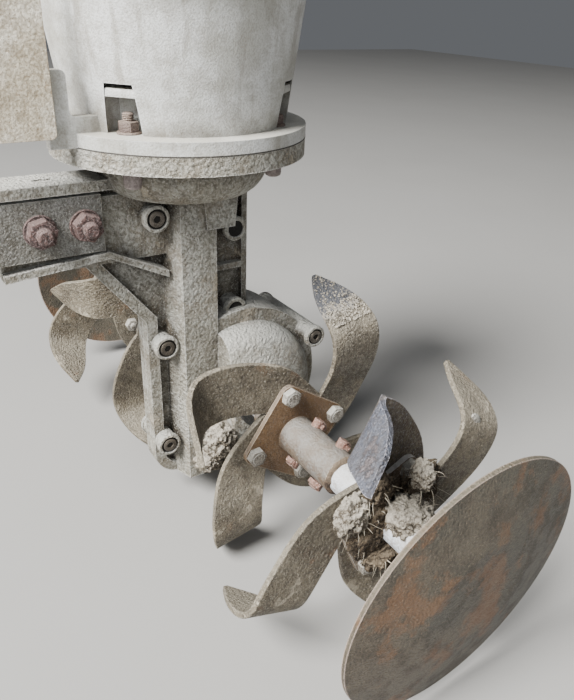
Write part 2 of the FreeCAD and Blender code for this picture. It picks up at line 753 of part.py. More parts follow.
def round_bar(body, radius, start, length, bore=None):
    """Tube or bar along the axle."""
    flat = plane_sketch(body, "YZ_Plane", start)
    ring(flat, radius)
    pad(body, flat, length)
    if bore:
        hole = plane_sketch(body, "YZ_Plane", start)
        ring(hole, bore)
        pocket(body, hole, length, backwards=True)


def across_axle(along):
    """Placement of a pin through the axle at the cell along."""
    turn = Rotation(ALONG_X, size("pin_angle") - 90)
    foot = turn.multVec(Vector(0, 0, -size("pin_length") / 2))
    return Placement(foot + Vector(size(along), 0, 0), turn)


def pin_hole(along):
    """Cross hole for a pin."""
    tool = made("Part::Cylinder", "pin_hole", Radius=cell("pin_hole_radius"), Height=cell("pin_length"))
    tool.Placement = across_axle(along)
    return tool


def rotor_steelwork():
    """Shaft, hubs and pins: everything of the rotor but its tines and discs."""
    inner = doc.addObject("PartDesign::Body", "inner_hub")
    star_plate(inner, "hub_plate_back", "plate_steel")
    round_bar(inner, "tube_radius", "tube_start", "tube_length", "tube_bore")
    holes = fused("inner_hub_holes", [pin_hole("pin_inner"), pin_hole("pin_outer")])
    hub = cut("inner_hub_drilled", inner, holes)
    hub.Placement = ROTOR
    keep(hub, "inner_hub_right")
    mirrored(hub, "inner_hub_left")

    stub = rod("outer_hub_tube", "shaft_radius", "outer_tube_length", x="outer_tube_start")
    star = doc.addObject("PartDesign::Body", "outer_star")
    star_plate(star, "outer_plate_back", "plate_steel")
    star.Placement = Placement(Vector(), Rotation(ALONG_X, size("outer_star_turn")))
    outer = fused("outer_hub", [stub, star])
    drilled = cut("outer_hub_drilled", outer, pin_hole("pin_outer"))
    drilled.Placement = ROTOR
    keep(drilled, "outer_hub_right")
    mirrored(drilled, "outer_hub_left")

    bar = rod("rotor_bar", "shaft_radius", "shaft_length", x="-shaft_joint")
    shaft = cut("shaft_drilled", bar, fused("shaft_holes", [pin_hole("pin_inner"), pin_hole("-pin_inner")]))
    shaft.Placement = ROTOR
    keep(shaft, "rotor_shaft")

    for label, along in (("inner_pin", "pin_inner"), ("outer_pin", "pin_outer")):
        pin = made("Part::Cylinder", label, Radius=cell("pin_radius"), Height=cell("pin_length"))
        pin.Placement = ROTOR.multiply(across_axle(along))
        keep(pin, label + "_right")
        mirrored(pin, label + "_left")


# Blade of a tine, seen along the axle from its own bolt: from root to tip, the two edges as
# (out from the axle, ahead of the bolt), and the share of the tine's reach that it has bent aside.
TINE_STATIONS = [
    # inner out, inner ahead, outer out, outer ahead, bent
    (8.0, -25.0, 27.0, -35.5, 0.0),
    (24.0, 0.0, 68.0, -13.0, 0.0),
    (35.0, 24.0, 86.0, 12.0, 0.0),
    (45.0, 43.0, 98.0, 36.0, 0.0),
    (51.0, 60.0, 104.5, 56.0, 0.0),
    (53.0, 74.0, 106.0, 72.0, 0.0),
    (54.0, 84.0, 105.5, 83.0, 0.03),
    (55.0, 92.0, 104.0, 91.0, 0.12),
    (56.0, 98.0, 102.0, 98.0, 0.25),
    (58.0, 104.0, 99.0, 104.0, 0.42),
    (63.0, 111.0, 93.0, 110.0, 0.68),
    (76.0, 118.0, 80.0, 118.0, 1.0),
]
# Stars of tines: name, plane they stand behind, how far the star is turned on the shaft
STARS = [
    ("inner", "hub_plate_back", "0"),
    ("outer", "outer_plate_back", "outer_star_turn"),
]
# Tines of each star: quarter turn, side the tip is bent to (towards the case or away from it),
# reach of the bend, how far the flat part is set towards the disc, and length beyond the hub
# plate against the longest
STAR_TINES = {
    "inner": [(0, -1, 61.0, 9.0, 1.0), (90, 1, 70.0, 0.0, 1.0),
              (180, -1, 61.0, 9.0, 1.0), (270, 1, 70.0, 0.0, 1.0)],
    "outer": [(0, -1, 60.0, 4.0, 1.0), (90, 1, 60.0, 6.0, 0.8),
              (180, -1, 65.0, 7.0, 0.97), (270, 1, 60.0, 6.0, 0.9)],
}


def tine(name, plane, angle, side, reach, set_out, length):
    """One bent blade, drilled for its bolt."""
    free = size("tine_free_start")
    middles = []
    for inner_out, inner_ahead, outer_out, outer_ahead, bent in TINE_STATIONS:
        inner_on, outer_on = [min(on, free) + max(on - free, 0.0) * length for on in (inner_ahead, outer_ahead)]
        set_share = min(max(((inner_on + outer_on) / 2 - free) / size("tine_set_run"), 0.0), 1.0)
        aside = side * reach * bent + set_out * set_share
        middles.append((Vector(aside, inner_out, inner_on), Vector(aside, outer_out, outer_on)))
    thick = size("tine_thick")
    half = thick / 2
    wires = []
    for i, (inner, outer) in enumerate(middles):
        before = middles[max(i - 1, 0)]
        after = middles[min(i + 1, len(middles) - 1)]
        along = (after[0] + after[1]) - (before[0] + before[1])
        normal = along.cross(inner - outer).normalize() * half
        corners = [inner + normal, outer + normal, outer - normal, inner - normal]
        wires.append(Part.makePolygon(corners + corners[:1]))
    blade = Part.makeLoft(wires, True, True)
    blade.translate(Vector(size(plane) - half, 0, 0))
    hole = Part.makeCylinder(size("hub_hole_radius"), thick * 2,
                             Vector(size(plane) - thick * 1.5, size("hub_bolt_radius"), 0), ALONG_X)
    thing = doc.addObject("Part::Feature", name)
    thing.Shape = blade.cut(hole)
    thing.Placement = ROTOR.multiply(Placement(Vector(), Rotation(ALONG_X, angle)))
    return thing


def tine_stars():
    """Two stars of four tines on each side."""
    for star, plane, turn in STARS:
        for number, (quarter, side, reach, set_out, length) in enumerate(STAR_TINES[star], start=1):
            right = tine("%s_tine_%d" % (star, number), plane, size(turn) + quarter, side, reach, set_out, length)
            keep(right, "%s_tine_right_%d" % (star, number))
            mirrored(right, "%s_tine_left_%d" % (star, number))


def end_disc():
    """Dished steel disc that shields the plants beside the rotor."""
    body = doc.addObject("PartDesign::Body", "disc")
    profile = plane_sketch(body, "XY_Plane")
    outline(profile, [
        ("disc_crown_inner", "0"),
        ("disc_depth", "0"),
        ("disc_depth", "disc_flat"),
        ("disc_thick", "disc_radius"),
        ("0", "disc_radius"),
        ("disc_crown_inner", "disc_flat"),
    ])
    turned(body, profile, "X_Axis")
    body.Placement = ROTOR.multiply(Placement(Vector(size("disc_rim"), 0, 0),
                                              Rotation(Vector(0, 1, 0), size("disc_lean"))))
    keep(body, "end_disc_right")
    mirrored(body, "end_disc_left")


def check_and_write():
    """Stop on anything failed, then write each sub-part to its own file."""
    doc.recompute()
    for thing in doc.Objects:
        if "Invalid" in thing.State or "Error" in thing.State:
            raise RuntimeError("%s did not build" % thing.Name)
    os.makedirs("parts", exist_ok=True)
    for thing in subparts:
        shape = thing.Shape
        if shape.isNull() or not shape.isValid() or shape.Volume <= 0:
            raise RuntimeError("%s has no valid shape" % thing.Label)
        shape.exportStep("parts/%s.step" % thing.Label)
        print("%-24s %2d solid  %9.1f mm3" % (thing.Label, len(shape.Solids), shape.Volume))


shell = case_shell()
keep(shell, "gear_case_right")
mirrored(shell, "gear_case_left")
bell_housing()
side_cheek()
drawbar_plate()
shaft_seal()
clutch_drum()
rotor_steelwork()
tine_stars()
end_disc()
check_and_write()
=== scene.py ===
import math
import random

import bmesh
import bpy
from mathutils import Matrix, Vector, noise


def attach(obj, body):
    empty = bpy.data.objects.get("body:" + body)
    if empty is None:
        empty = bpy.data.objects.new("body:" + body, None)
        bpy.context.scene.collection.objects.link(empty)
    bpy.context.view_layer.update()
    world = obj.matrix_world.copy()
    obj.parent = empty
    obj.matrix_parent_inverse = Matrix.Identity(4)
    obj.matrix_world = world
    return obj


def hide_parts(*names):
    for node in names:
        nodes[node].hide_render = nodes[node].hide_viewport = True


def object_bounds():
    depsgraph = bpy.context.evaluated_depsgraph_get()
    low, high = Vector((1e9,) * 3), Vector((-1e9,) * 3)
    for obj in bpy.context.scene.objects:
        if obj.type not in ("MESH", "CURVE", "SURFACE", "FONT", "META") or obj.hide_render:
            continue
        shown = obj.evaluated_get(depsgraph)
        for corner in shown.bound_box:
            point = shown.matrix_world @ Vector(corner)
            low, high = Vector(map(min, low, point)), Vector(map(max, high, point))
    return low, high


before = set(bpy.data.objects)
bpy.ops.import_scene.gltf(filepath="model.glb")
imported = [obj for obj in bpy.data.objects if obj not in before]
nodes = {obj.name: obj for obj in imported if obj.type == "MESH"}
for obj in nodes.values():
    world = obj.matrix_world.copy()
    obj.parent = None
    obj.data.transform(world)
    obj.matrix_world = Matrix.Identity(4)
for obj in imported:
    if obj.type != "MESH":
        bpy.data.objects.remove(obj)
cad_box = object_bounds()

# Bell housing: an aluminium casting under old cream-grey paint. It stands on the gear case
# on four studs, whose brown nuts sit in pockets of its foot, on a thin dark paper joint.


def wired(tree, kind, sockets=None, **settings):
    """A node of the tree, with its settings, and its inputs fed by number, colour or socket."""
    node = tree.nodes.new(kind)
    for key, value in settings.items():
        setattr(node, key, value)
    for key, value in (sockets or {}).items():
        if isinstance(value, bpy.types.NodeSocket):
            tree.links.new(value, node.inputs[key])
        else:
            node.inputs[key].default_value = value
    return node


def sums(tree, operation, first, second=0.0, third=0.0, clamp=False):
    """The outcome of one step of arithmetic."""
    terms = {0: first, 1: second, 2: third}
    return wired(tree, "ShaderNodeMath", terms, operation=operation, use_clamp=clamp).outputs[0]


def vectors(tree, operation, first, second):
    return wired(tree, "ShaderNodeVectorMath", {0: first, 1: second}, operation=operation).outputs


def coated(tree, share, below, above):
    """One colour laid over another by a share of 0 to 1."""
    below, above = [tone + (1,) if isinstance(tone, tuple) else tone for tone in (below, above)]
    return wired(tree, "ShaderNodeMix", {0: share, 6: below, 7: above}, data_type="RGBA").outputs[2]


def stepped(tree, value, low, high):
    """0 below low, 1 above high, smooth between."""
    ramp = wired(tree, "ShaderNodeMapRange", {0: value, 1: low, 2: high}, interpolation_type="SMOOTHSTEP")
    return ramp.outputs[0]


def cloudy(tree, place, scale, detail=5.0, rough=0.6):
    """Soft noise of about 0.3 to 0.7, scale patches to the metre."""
    cloud = wired(tree, "ShaderNodeTexNoise",
                  {"Vector": place, "Scale": scale, "Detail": detail, "Roughness": rough})
    return cloud.outputs[0]


def effect(name, inputs, outputs):
    """A shader node group with named inputs and outputs, and its two end nodes' sockets."""
    group = bpy.data.node_groups.new(name, "ShaderNodeTree")
    for label in inputs:
        kind = "NodeSocketVector" if label in ("Place", "Facing", "Centre") else "NodeSocketFloat"
        group.interface.new_socket(label, in_out="INPUT", socket_type=kind)
    for label in outputs:
        group.interface.new_socket(label, in_out="OUTPUT", socket_type="NodeSocketFloat")
    return group, group.nodes.new("NodeGroupInput").outputs, group.nodes.new("NodeGroupOutput").inputs


def cast_grain():
    """Skin of a sand casting or of caked dust: round grains, dirt in the hollows, pale specks."""
    tree, given, put = effect("cast_grain", ["Place", "Grains"], ["Height", "Hollows", "Specks"])
    place, grains = given["Place"], given["Grains"]
    fine = cloudy(tree, place, grains, detail=4.0, rough=0.7)
    cells = wired(tree, "ShaderNodeTexVoronoi", {"Vector": place, "Scale": grains, "Smoothness": 0.6},
                  feature="SMOOTH_F1")
    raised = sums(tree, "MULTIPLY", fine, 1.3)
    height = sums(tree, "MULTIPLY_ADD", cells.outputs["Distance"], -0.6, raised)
    tree.links.new(height, put["Height"])
    hollow = sums(tree, "SUBTRACT", 1.0, height)
    tree.links.new(stepped(tree, hollow, low=0.62, high=0.78), put["Hollows"])
    crumbs = cloudy(tree, place, sums(tree, "MULTIPLY", grains, 1.6), detail=2.0, rough=0.5)
    tree.links.new(stepped(tree, crumbs, low=0.57, high=0.66), put["Specks"])
    return tree


def worn_edges():
    """Corners rubbed bare: where the normal of a rounded corner leaves the real one."""
    tree, given, put = effect("worn_edges", ["Place", "Radius", "Breaks"], ["Worn"])
    flat_normal = wired(tree, "ShaderNodeNewGeometry").outputs["Normal"]
    rounded = wired(tree, "ShaderNodeBevel", {"Radius": given["Radius"]}, samples=6).outputs[0]
    same = vectors(tree, "DOT_PRODUCT", rounded, flat_normal)["Value"]
    breaks = cloudy(tree, given["Place"], given["Breaks"], rough=0.7)
    broken = sums(tree, "SUBTRACT", sums(tree, "MULTIPLY", breaks, 0.16), 0.03)
    worn = sums(tree, "SUBTRACT", sums(tree, "SUBTRACT", 1.0, same), broken)
    tree.links.new(stepped(tree, worn, low=0.0, high=0.07), put["Worn"])
    return tree


def dirt_shade_and_dust():
    """Dirt and painted shade in corners, from ambient occlusion, and dust on what faces up, both broken
    up.
    """
    tree, given, put = effect("dirt_shade_and_dust", ["Place", "Facing", "Reach"], ["Corners", "Tops"])
    open_sky = wired(tree, "ShaderNodeAmbientOcclusion", {"Distance": given["Reach"]},
                     samples=6, only_local=True).outputs["AO"]
    patchy = cloudy(tree, given["Place"], 55.0, rough=0.65)
    corner = sums(tree, "SUBTRACT", sums(tree, "SUBTRACT", 1.25, open_sky), patchy)
    tree.links.new(stepped(tree, corner, low=-0.15, high=0.5), put["Corners"])
    up = wired(tree, "ShaderNodeSeparateXYZ", {0: given["Facing"]}).outputs[2]
    dusty = sums(tree, "MULTIPLY_ADD", patchy, 0.9, up)
    tree.links.new(stepped(tree, dusty, low=0.35, high=1.2), put["Tops"])
    return tree


def mottling():
    """Wide cloudy changes, narrow blotches, and runs where water has crept down."""
    tree, given, put = effect("mottling", ["Place", "Wide", "Narrow"], ["Broad", "Fine", "Runs"])
    place = given["Place"]
    broad = cloudy(tree, place, given["Wide"], rough=0.62)
    tree.links.new(stepped(tree, broad, low=0.42, high=0.58), put["Broad"])
    blotches = cloudy(tree, place, given["Narrow"], detail=6.0, rough=0.7)
    tree.links.new(stepped(tree, blotches, low=0.45, high=0.60), put["Fine"])
    drawn_down = vectors(tree, "MULTIPLY", place, (1.0, 1.0, 0.09))[0]
    runs = cloudy(tree, drawn_down, 75.0, detail=4.0)
    tree.links.new(stepped(tree, runs, low=0.54, high=0.68), put["Runs"])
    return tree


GRAIN, WEAR, DIRT_SHADE_DUST, MOTTLE = cast_grain(), worn_edges(), dirt_shade_and_dust(), mottling()


def finish(name, main, second, pits, corners, tops, bare, rough=0.6, grains=420.0, depth=0.0006,
           wide=14.0, narrow=120.0, broad=0.8, fine=0.45, runs=0.0, wear=0.0012, wear_share=0.8,
           corner_share=0.7, top_share=0.6, pit_share=0.5, specks=None, speck_share=0.35,
           metal=0.0, bare_metal=0.0, rust=None, rust_from=0.55, soil=None, soil_from=0.56,
           patches=28.0, caked=None, zone=None, reach=0.02):
    """A weathered surface, its tones laid on in the order in which it aged.

    main and second mottle it over wide and narrow patches, pits darken hollows and runs, corners
    are dirt and painted shade in corners, tops are the dust on what faces up, bare shows on worn
    edges, and specks lie on all. A share says how much of each is laid on. zone is a stretch of the
    rotor with two tones of its own. rust and soil are two tones each, from a share of the noise up.
    caked is a place, a reach and two tones.
    """
    material = bpy.data.materials.new(name)
    material.use_nodes = True
    tree = material.node_tree
    shader = tree.nodes["Principled BSDF"]
    spot = wired(tree, "ShaderNodeTexCoord").outputs
    place = spot["Object"]

    def placed(kind, **sockets):
        return wired(tree, "ShaderNodeGroup", dict(sockets, Place=place), node_tree=kind).outputs

    def laid(share, mask, colour, under):
        return coated(tree, sums(tree, "MULTIPLY", mask, share), under, colour)

    mottle = placed(MOTTLE, Wide=wide, Narrow=narrow)
    grain = placed(GRAIN, Grains=grains)
    dirt_and_shade = placed(DIRT_SHADE_DUST, Facing=spot["Normal"], Reach=reach)
    worn = placed(WEAR, Radius=wear, Breaks=160.0)["Worn"]
    height = grain["Height"]
    dull = sums(tree, "MULTIPLY_ADD", mottle["Fine"], 0.15, rough)
    tone = laid(broad, mottle["Broad"], second, main)
    if zone:
        low, high, zone_main, zone_second = zone
        within = placed(BETWEEN, Low=low, High=high)["Between"]
        tone = coated(tree, within, tone, laid(broad, mottle["Broad"], zone_second, zone_main))
    tone = laid(fine, mottle["Fine"], pits, tone)
    if runs:
        tone = laid(runs, mottle["Runs"], pits, tone)
    tone = laid(pit_share, grain["Hollows"], pits, tone)
    if rust:
        spread = cloudy(tree, place, 22.0, detail=8.0, rough=0.68)
        eaten = stepped(tree, spread, low=rust_from, high=rust_from + 0.09)
        tone = coated(tree, eaten, tone, coated(tree, cloudy(tree, place, 260.0), *rust))
    tone = laid(wear_share, worn, bare, tone)
    # Corners: dirt and painted shade, darker where ambient occlusion finds corners.
    tone = laid(corner_share, dirt_and_shade["Corners"], corners, tone)
    if soil:
        crust_tone, film_tone = soil
        lying = placed(SOIL, Patches=patches, From=soil_from)
        tone = laid(0.55, lying["Film"], film_tone, tone)
        tone = laid(0.95, lying["Crust"], crust_tone, tone)
        height = sums(tree, "MULTIPLY_ADD", lying["Crust"], 0.8, height)
        dull = sums(tree, "MULTIPLY_ADD", lying["Film"], 0.3, dull)
    tone = laid(top_share, dirt_and_shade["Tops"], tops, tone)
    tone = laid(speck_share, grain["Specks"], specks or tops, tone)
    if caked:
        centre, out, mud_tone, crumb_tone = caked
        mud = placed(CAKED, Centre=centre, Reach=out)
        grainy = cloudy(tree, place, 480.0, detail=4.0, rough=0.7)
        crumbs = sums(tree, "MULTIPLY_ADD", mud["Band"], 0.16, grainy)
        crumbly = coated(tree, stepped(tree, crumbs, low=0.56, high=0.64), mud_tone, crumb_tone)
        tone = coated(tree, mud["Caked"], tone, crumbly)
        height = sums(tree, "MULTIPLY_ADD", mud["Caked"], 2.0, height)
        dull = sums(tree, "MULTIPLY_ADD", mud["Caked"], 0.4, dull)
    tree.links.new(tone, shader.inputs["Base Color"])
    shine = sums(tree, "MULTIPLY", worn, 0.3 * wear_share)
    tree.links.new(sums(tree, "SUBTRACT", dull, shine, clamp=True), shader.inputs["Roughness"])
    shader.inputs["Metallic"].default_value = metal
    if bare_metal:
        metallic = sums(tree, "MULTIPLY_ADD", worn, bare_metal, metal, clamp=True)
        tree.links.new(metallic, shader.inputs["Metallic"])
    bump = wired(tree, "ShaderNodeBump", {"Height": height, "Distance": depth, "Strength": 1.0})
    tree.links.new(bump.outputs[0], shader.inputs["Normal"])
    return material


def painted(material, *node_names):
    """Give carried-over solids their finish."""
    for node_name in node_names:
        mesh = nodes[node_name].data
        mesh.materials.clear()
        mesh.materials.append(material)


def turned_shape(profile, segments=32):
    """A bmesh turned about Z from (radius, height) points."""
    shape = bmesh.new()
    corners = [shape.verts.new((r, 0, h)) for r, h in profile]
    edges = [shape.edges.new(pair) for pair in zip(corners, corners[1:])]
    bmesh.ops.spin(shape, geom=corners + edges, cent=(0, 0, 0), axis=(0, 0, 1),
                   angle=2 * math.pi, steps=segments, use_merge=True)
    bmesh.ops.remove_doubles(shape, verts=shape.verts, dist=1e-6)
    bmesh.ops.recalc_face_normals(shape, faces=shape.faces)
    return shape


def upright_bar(radius, low, high, segments):
    """A round or many-sided bar on Z from one height to another."""
    bar = bmesh.new()
    bmesh.ops.create_cone(bar, cap_ends=True, segments=segments, radius1=radius, radius2=radius,
                          depth=high - low)
    bmesh.ops.translate(bar, verts=bar.verts, vec=(0, 0, (low + high) / 2))
    return bar


def softened(shape, edges, width):
    """Round the edges off over a width."""
    bmesh.ops.bevel(shape, geom=edges, offset=width, segments=2, profile=0.5, affect="EDGES", material=-1)


def hexagon(flats, height, foot=0.0, chamfer=0.0008):
    """A six-sided head or nut standing on Z, its upper corners turned off."""
    shape = upright_bar(flats / 2 / math.cos(math.pi / 6), foot, foot + height, 6)
    top = [e for e in shape.edges if all(v.co.z > foot + height * 0.9 for v in e.verts)]
    softened(shape, top, chamfer)
    upright = [e for e in shape.edges if abs(e.verts[0].co.z - e.verts[1].co.z) > height * 0.5]
    softened(shape, upright, chamfer * 0.35)
    return shape


def washer(hole, radius, shoulder, thick, segments):
    """A washer, widest at its shoulder's height."""
    return turned_shape([(hole, 0), (radius - 0.0002, 0), (radius, shoulder), (radius - 0.0005, thick),
                         (hole, thick), (hole, 0)], segments)


def bolt_end(start, radius, foot, height, pitch=0.00125, segments=20):
    """A threaded bolt end that starts inside its nut and stands out of it from foot up."""
    root, top = radius - pitch * 0.5, foot + height
    profile = [(0, start), (radius, foot)]
    for number in range(int(height / pitch)):
        low = foot + number * pitch
        profile += [(radius, low + pitch * 0.2), (root, low + pitch * 0.7)]
    profile += [(root, top - 0.0008), (radius - 0.0018, top), (0, top)]
    return turned_shape(profile, segments)


def join(shape, other):
    """Add another bmesh to this one."""
    mesh = bpy.data.meshes.new("joined")
    other.to_mesh(mesh)
    other.free()
    shape.from_mesh(mesh)
    bpy.data.meshes.remove(mesh)
    return shape


def stood(shape, place, direction, turn=0.0):
    """Stand a shape made on Z at a place, its Z towards direction."""
    aim = Vector(direction).to_track_quat("Z", "Y").to_matrix().to_4x4()
    bmesh.ops.transform(shape, verts=shape.verts,
                        matrix=Matrix.Translation(place) @ aim @ Matrix.Rotation(turn, 4, "Z"))
    return shape


def fitted(shape, name, body, material, crease=35):
    """Make the piece from its bmesh, smooth but for its creases, riding on its body."""
    mesh = bpy.data.meshes.new(name)
    shape.to_mesh(mesh)
    shape.free()
    piece = bpy.data.objects.new(name, mesh)
    bpy.context.scene.collection.objects.link(piece)
    mesh.materials.append(material)
    mesh.polygons.foreach_set("use_smooth", [True] * len(mesh.polygons))
    mesh.set_sharp_from_angle(angle=math.radians(crease))
    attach(piece, body)
    return piece


bell_paint = finish(
    "bell_paint", main=(0.60, 0.61, 0.60), second=(0.40, 0.40, 0.365), pits=(0.20, 0.175, 0.135),
    corners=(0.07, 0.055, 0.038), tops=(0.56, 0.54, 0.47), bare=(0.76, 0.77, 0.78),
    specks=(0.27, 0.23, 0.17), rough=0.40, grains=700.0, depth=0.0003, wide=10.0, narrow=60.0,
    fine=0.3, runs=0.45, wear=0.0015, wear_share=0.4, pit_share=0.3, speck_share=0.25, reach=0.03)
rusty_steel = finish(
    "rusty_steel", main=(0.17, 0.125, 0.11), second=(0.095, 0.062, 0.055), pits=(0.035, 0.022, 0.018),
    corners=(0.04, 0.025, 0.018), tops=(0.30, 0.24, 0.20), bare=(0.44, 0.34, 0.27),
    grains=700.0, depth=0.0008, wear=0.0007, metal=0.2, bare_metal=0.3, reach=0.004)
stud_steel = finish(
    "stud_steel", main=(0.33, 0.28, 0.275), second=(0.22, 0.18, 0.17), pits=(0.08, 0.06, 0.05),
    corners=(0.06, 0.045, 0.035), tops=(0.40, 0.37, 0.33), bare=(0.50, 0.46, 0.43),
    rough=0.55, grains=600.0, reach=0.004)
joint_paper = finish(
    "joint_paper", main=(0.03, 0.03, 0.028), second=(0.05, 0.045, 0.04), pits=(0.02, 0.02, 0.02),
    corners=(0.06, 0.05, 0.04), tops=(0.08, 0.07, 0.05), bare=(0.08, 0.07, 0.06), rough=0.8)
painted(bell_paint, "bell_housing")

JOINT_HEIGHT, PAPER_OUTER, PAPER_INNER, PAPER_HALF = -0.152, 0.1107, 0.1007, 0.0005
paper = turned_shape([(PAPER_INNER, -PAPER_HALF), (PAPER_OUTER, -PAPER_HALF), (PAPER_OUTER, PAPER_HALF),
                      (PAPER_INNER, PAPER_HALF), (PAPER_INNER, -PAPER_HALF)], 128)
fitted(stood(paper, (0, 0, JOINT_HEIGHT), (0, 0, 1)), "bell_joint_paper",
       "gear_unit", joint_paper)

STUDS = [  # name, across, along, turn of the nut
    ("rear_right", 0.0541, -0.0668, 0.35),
    ("rear_left", -0.0541, -0.0668, 0.9),
    ("front_right", 0.0639, 0.0575, 0.1),
    ("front_left", -0.0639, 0.0575, 0.6),
]
STUD_SEAT, FLANGE_UNDERSIDE = -0.1415, -0.167
STUD_WASHER_THICK, STUD_NUT_FLATS, STUD_NUT_HEIGHT = 0.0016, 0.0138, 0.0075
STUD_FOOT_PROFILE = [(0, 0), (0.0072, 0), (0.0072, 0.0130), (0.0066, 0.0154), (0.0045, 0.0166),
                     (0, 0.0170)]
for name, across, along, turn in STUDS:
    nut = washer(0.0035, 0.0095, 0.0006, STUD_WASHER_THICK, 28)
    join(nut, hexagon(STUD_NUT_FLATS, STUD_NUT_HEIGHT, STUD_WASHER_THICK))
    join(nut, bolt_end(0.002, 0.0045, 0.009, 0.0065))
    fitted(stood(nut, (across, along, STUD_SEAT), (0, 0, 1), turn), "stud_nut_" + name,
           "gear_unit", rusty_steel)
    foot = turned_shape(STUD_FOOT_PROFILE, 28)
    fitted(stood(foot, (across, along, FLANGE_UNDERSIDE), (0, 0, -1)), "stud_foot_" + name,
           "gear_unit", stud_steel)

POCKET_ROUND, HOOD_FOOT, HOOD_TOP, HOOD_REACH, HOOD_EDGE = 0.0159, -0.1150, -0.1090, 0.0098, 0.0009


def pocket_block(low, high, front):
    """Slice of the pocket's round, cut off flat at a distance in front of the stud."""
    block = upright_bar(POCKET_ROUND, low, high, 64)
    bmesh.ops.bisect_plane(block, geom=block.verts[:] + block.edges[:] + block.faces[:],
                           plane_co=(front, 0, 0), plane_no=(1, 0, 0), clear_outer=True)
    bmesh.ops.holes_fill(block, edges=[e for e in block.edges if e.is_boundary])
    softened(block, [e for e in block.edges if all(v.co.x > front - 1e-6 for v in e.verts)], HOOD_EDGE)
    bmesh.ops.recalc_face_normals(block, faces=block.faces)
    return block


for name, across, along, turn in STUDS:
    hood = join(pocket_block(STUD_SEAT, HOOD_FOOT, -HOOD_REACH),
                pocket_block(HOOD_FOOT, HOOD_TOP, HOOD_REACH))
    bmesh.ops.rotate(hood, verts=hood.verts, matrix=Matrix.Rotation(math.atan2(along, across), 3, "Z"))
    bmesh.ops.translate(hood, verts=hood.verts, vec=(across, along, 0))
    fitted(hood, "pocket_hood_" + name, "gear_unit", bell_paint)

# Gear case: two aluminium castings, left and right, with a rough sand-cast skin under the same
# paint. Socket screws sunk in round bosses draw them together; two front bosses stand open.


def dried_soil():
    """Soil dried on: a crust in patches, from a share of the noise up, and a thin film round it."""
    tree, given, put = effect("dried_soil", ["Place", "Patches", "From"], ["Crust", "Film"])
    lying = cloudy(tree, given["Place"], given["Patches"], detail=8.0, rough=0.7)
    high = sums(tree, "SUBTRACT", lying, given["From"])
    tree.links.new(stepped(tree, high, low=0.0, high=0.03), put["Crust"])
    tree.links.new(stepped(tree, high, low=-0.12, high=0.02), put["Film"])
    return tree


SOIL = dried_soil()
case_paint = finish(
    "case_paint", main=(0.50, 0.49, 0.44), second=(0.33, 0.31, 0.25), pits=(0.115, 0.095, 0.062),
    corners=(0.040, 0.030, 0.018), tops=(0.52, 0.52, 0.49), bare=(0.78, 0.77, 0.73),
    specks=(0.66, 0.65, 0.60), grains=330.0, depth=0.0036, fine=0.4, runs=0.3, wear=0.0020,
    wear_share=0.7, corner_share=1.0, pit_share=0.55, speck_share=0.4, reach=0.045,
    soil=((0.40, 0.35, 0.27), (0.24, 0.20, 0.145)), soil_from=0.60, patches=24.0)
screw_steel = finish(
    "screw_steel", main=(0.16, 0.14, 0.12), second=(0.09, 0.075, 0.06), pits=(0.03, 0.025, 0.02),
    corners=(0.03, 0.02, 0.015), tops=(0.22, 0.19, 0.15), bare=(0.50, 0.48, 0.44),
    rough=0.4, grains=900.0, depth=0.0002, wear=0.0006, metal=0.5, bare_metal=0.4, reach=0.004)
# Near-black finish of the discs in the screws' seats and sockets: painted shade in the sunk holes.
painted_hole_shade = finish(
    "painted_hole_shade", main=(0.012, 0.010, 0.008), second=(0.02, 0.016, 0.012), pits=(0.01, 0.01, 0.01),
    corners=(0.01, 0.01, 0.01), tops=(0.02, 0.02, 0.015), bare=(0.03, 0.025, 0.02), rough=0.9)
painted(case_paint, "gear_case_right", "gear_case_left")

SIDES = (("right", 1), ("left", -1))
AXLE_ALONG, AXLE_UP = 0.049, -0.415
BOSS_RISE, SCREW_HEIGHT = 0.0024, 0.0024
CASE_SCREWS = [  # name, along and up from the axle, end of the boss across, boss, seat, head, flats
    ("top", -0.0850, 0.1940, 0.0230, 0.0124, 0.0092, 0.0072, 0.0066),
    ("middle", -0.0817, 0.0650, 0.0230, 0.0124, 0.0092, 0.0072, 0.0066),
    ("low", -0.0850, -0.0490, 0.0230, 0.0124, 0.0092, 0.0072, 0.0066),
    ("front_top", -0.0044, 0.1730, 0.0200, 0.0120, 0.0080, 0.0, 0.0),
    ("front_low", -0.0044, 0.0890, 0.0200, 0.0120, 0.0080, 0.0, 0.0),
    ("small", -0.0126, 0.0660, 0.0200, 0.0098, 0.0068, 0.0050, 0.0042),
    ("ring", 0.0755, 0.0510, 0.0516, 0.0120, 0.0088, 0.0070, 0.0066),
]


def boss_rim(boss, seat):
    """Round rim of a boss with the screw's seat sunk in it, closed below."""
    return turned_shape([(0, -0.003), (boss, -0.003), (boss, BOSS_RISE - 0.0016),
                         (boss - 0.0005, BOSS_RISE - 0.0005), (boss - 0.0016, BOSS_RISE),
                         (seat + 0.0006, BOSS_RISE), (seat, BOSS_RISE - 0.0006),
                         (seat, 0.0003), (0, 0.0003)], 40)


def dark_floor(seat):
    """Thin dark disc on the floor of a seat: painted shade in the sunk hole."""
    return turned_shape([(0, 0.0004), (seat - 0.0001, 0.0004), (seat - 0.0001, 0.0007), (0, 0.0007)], 36)


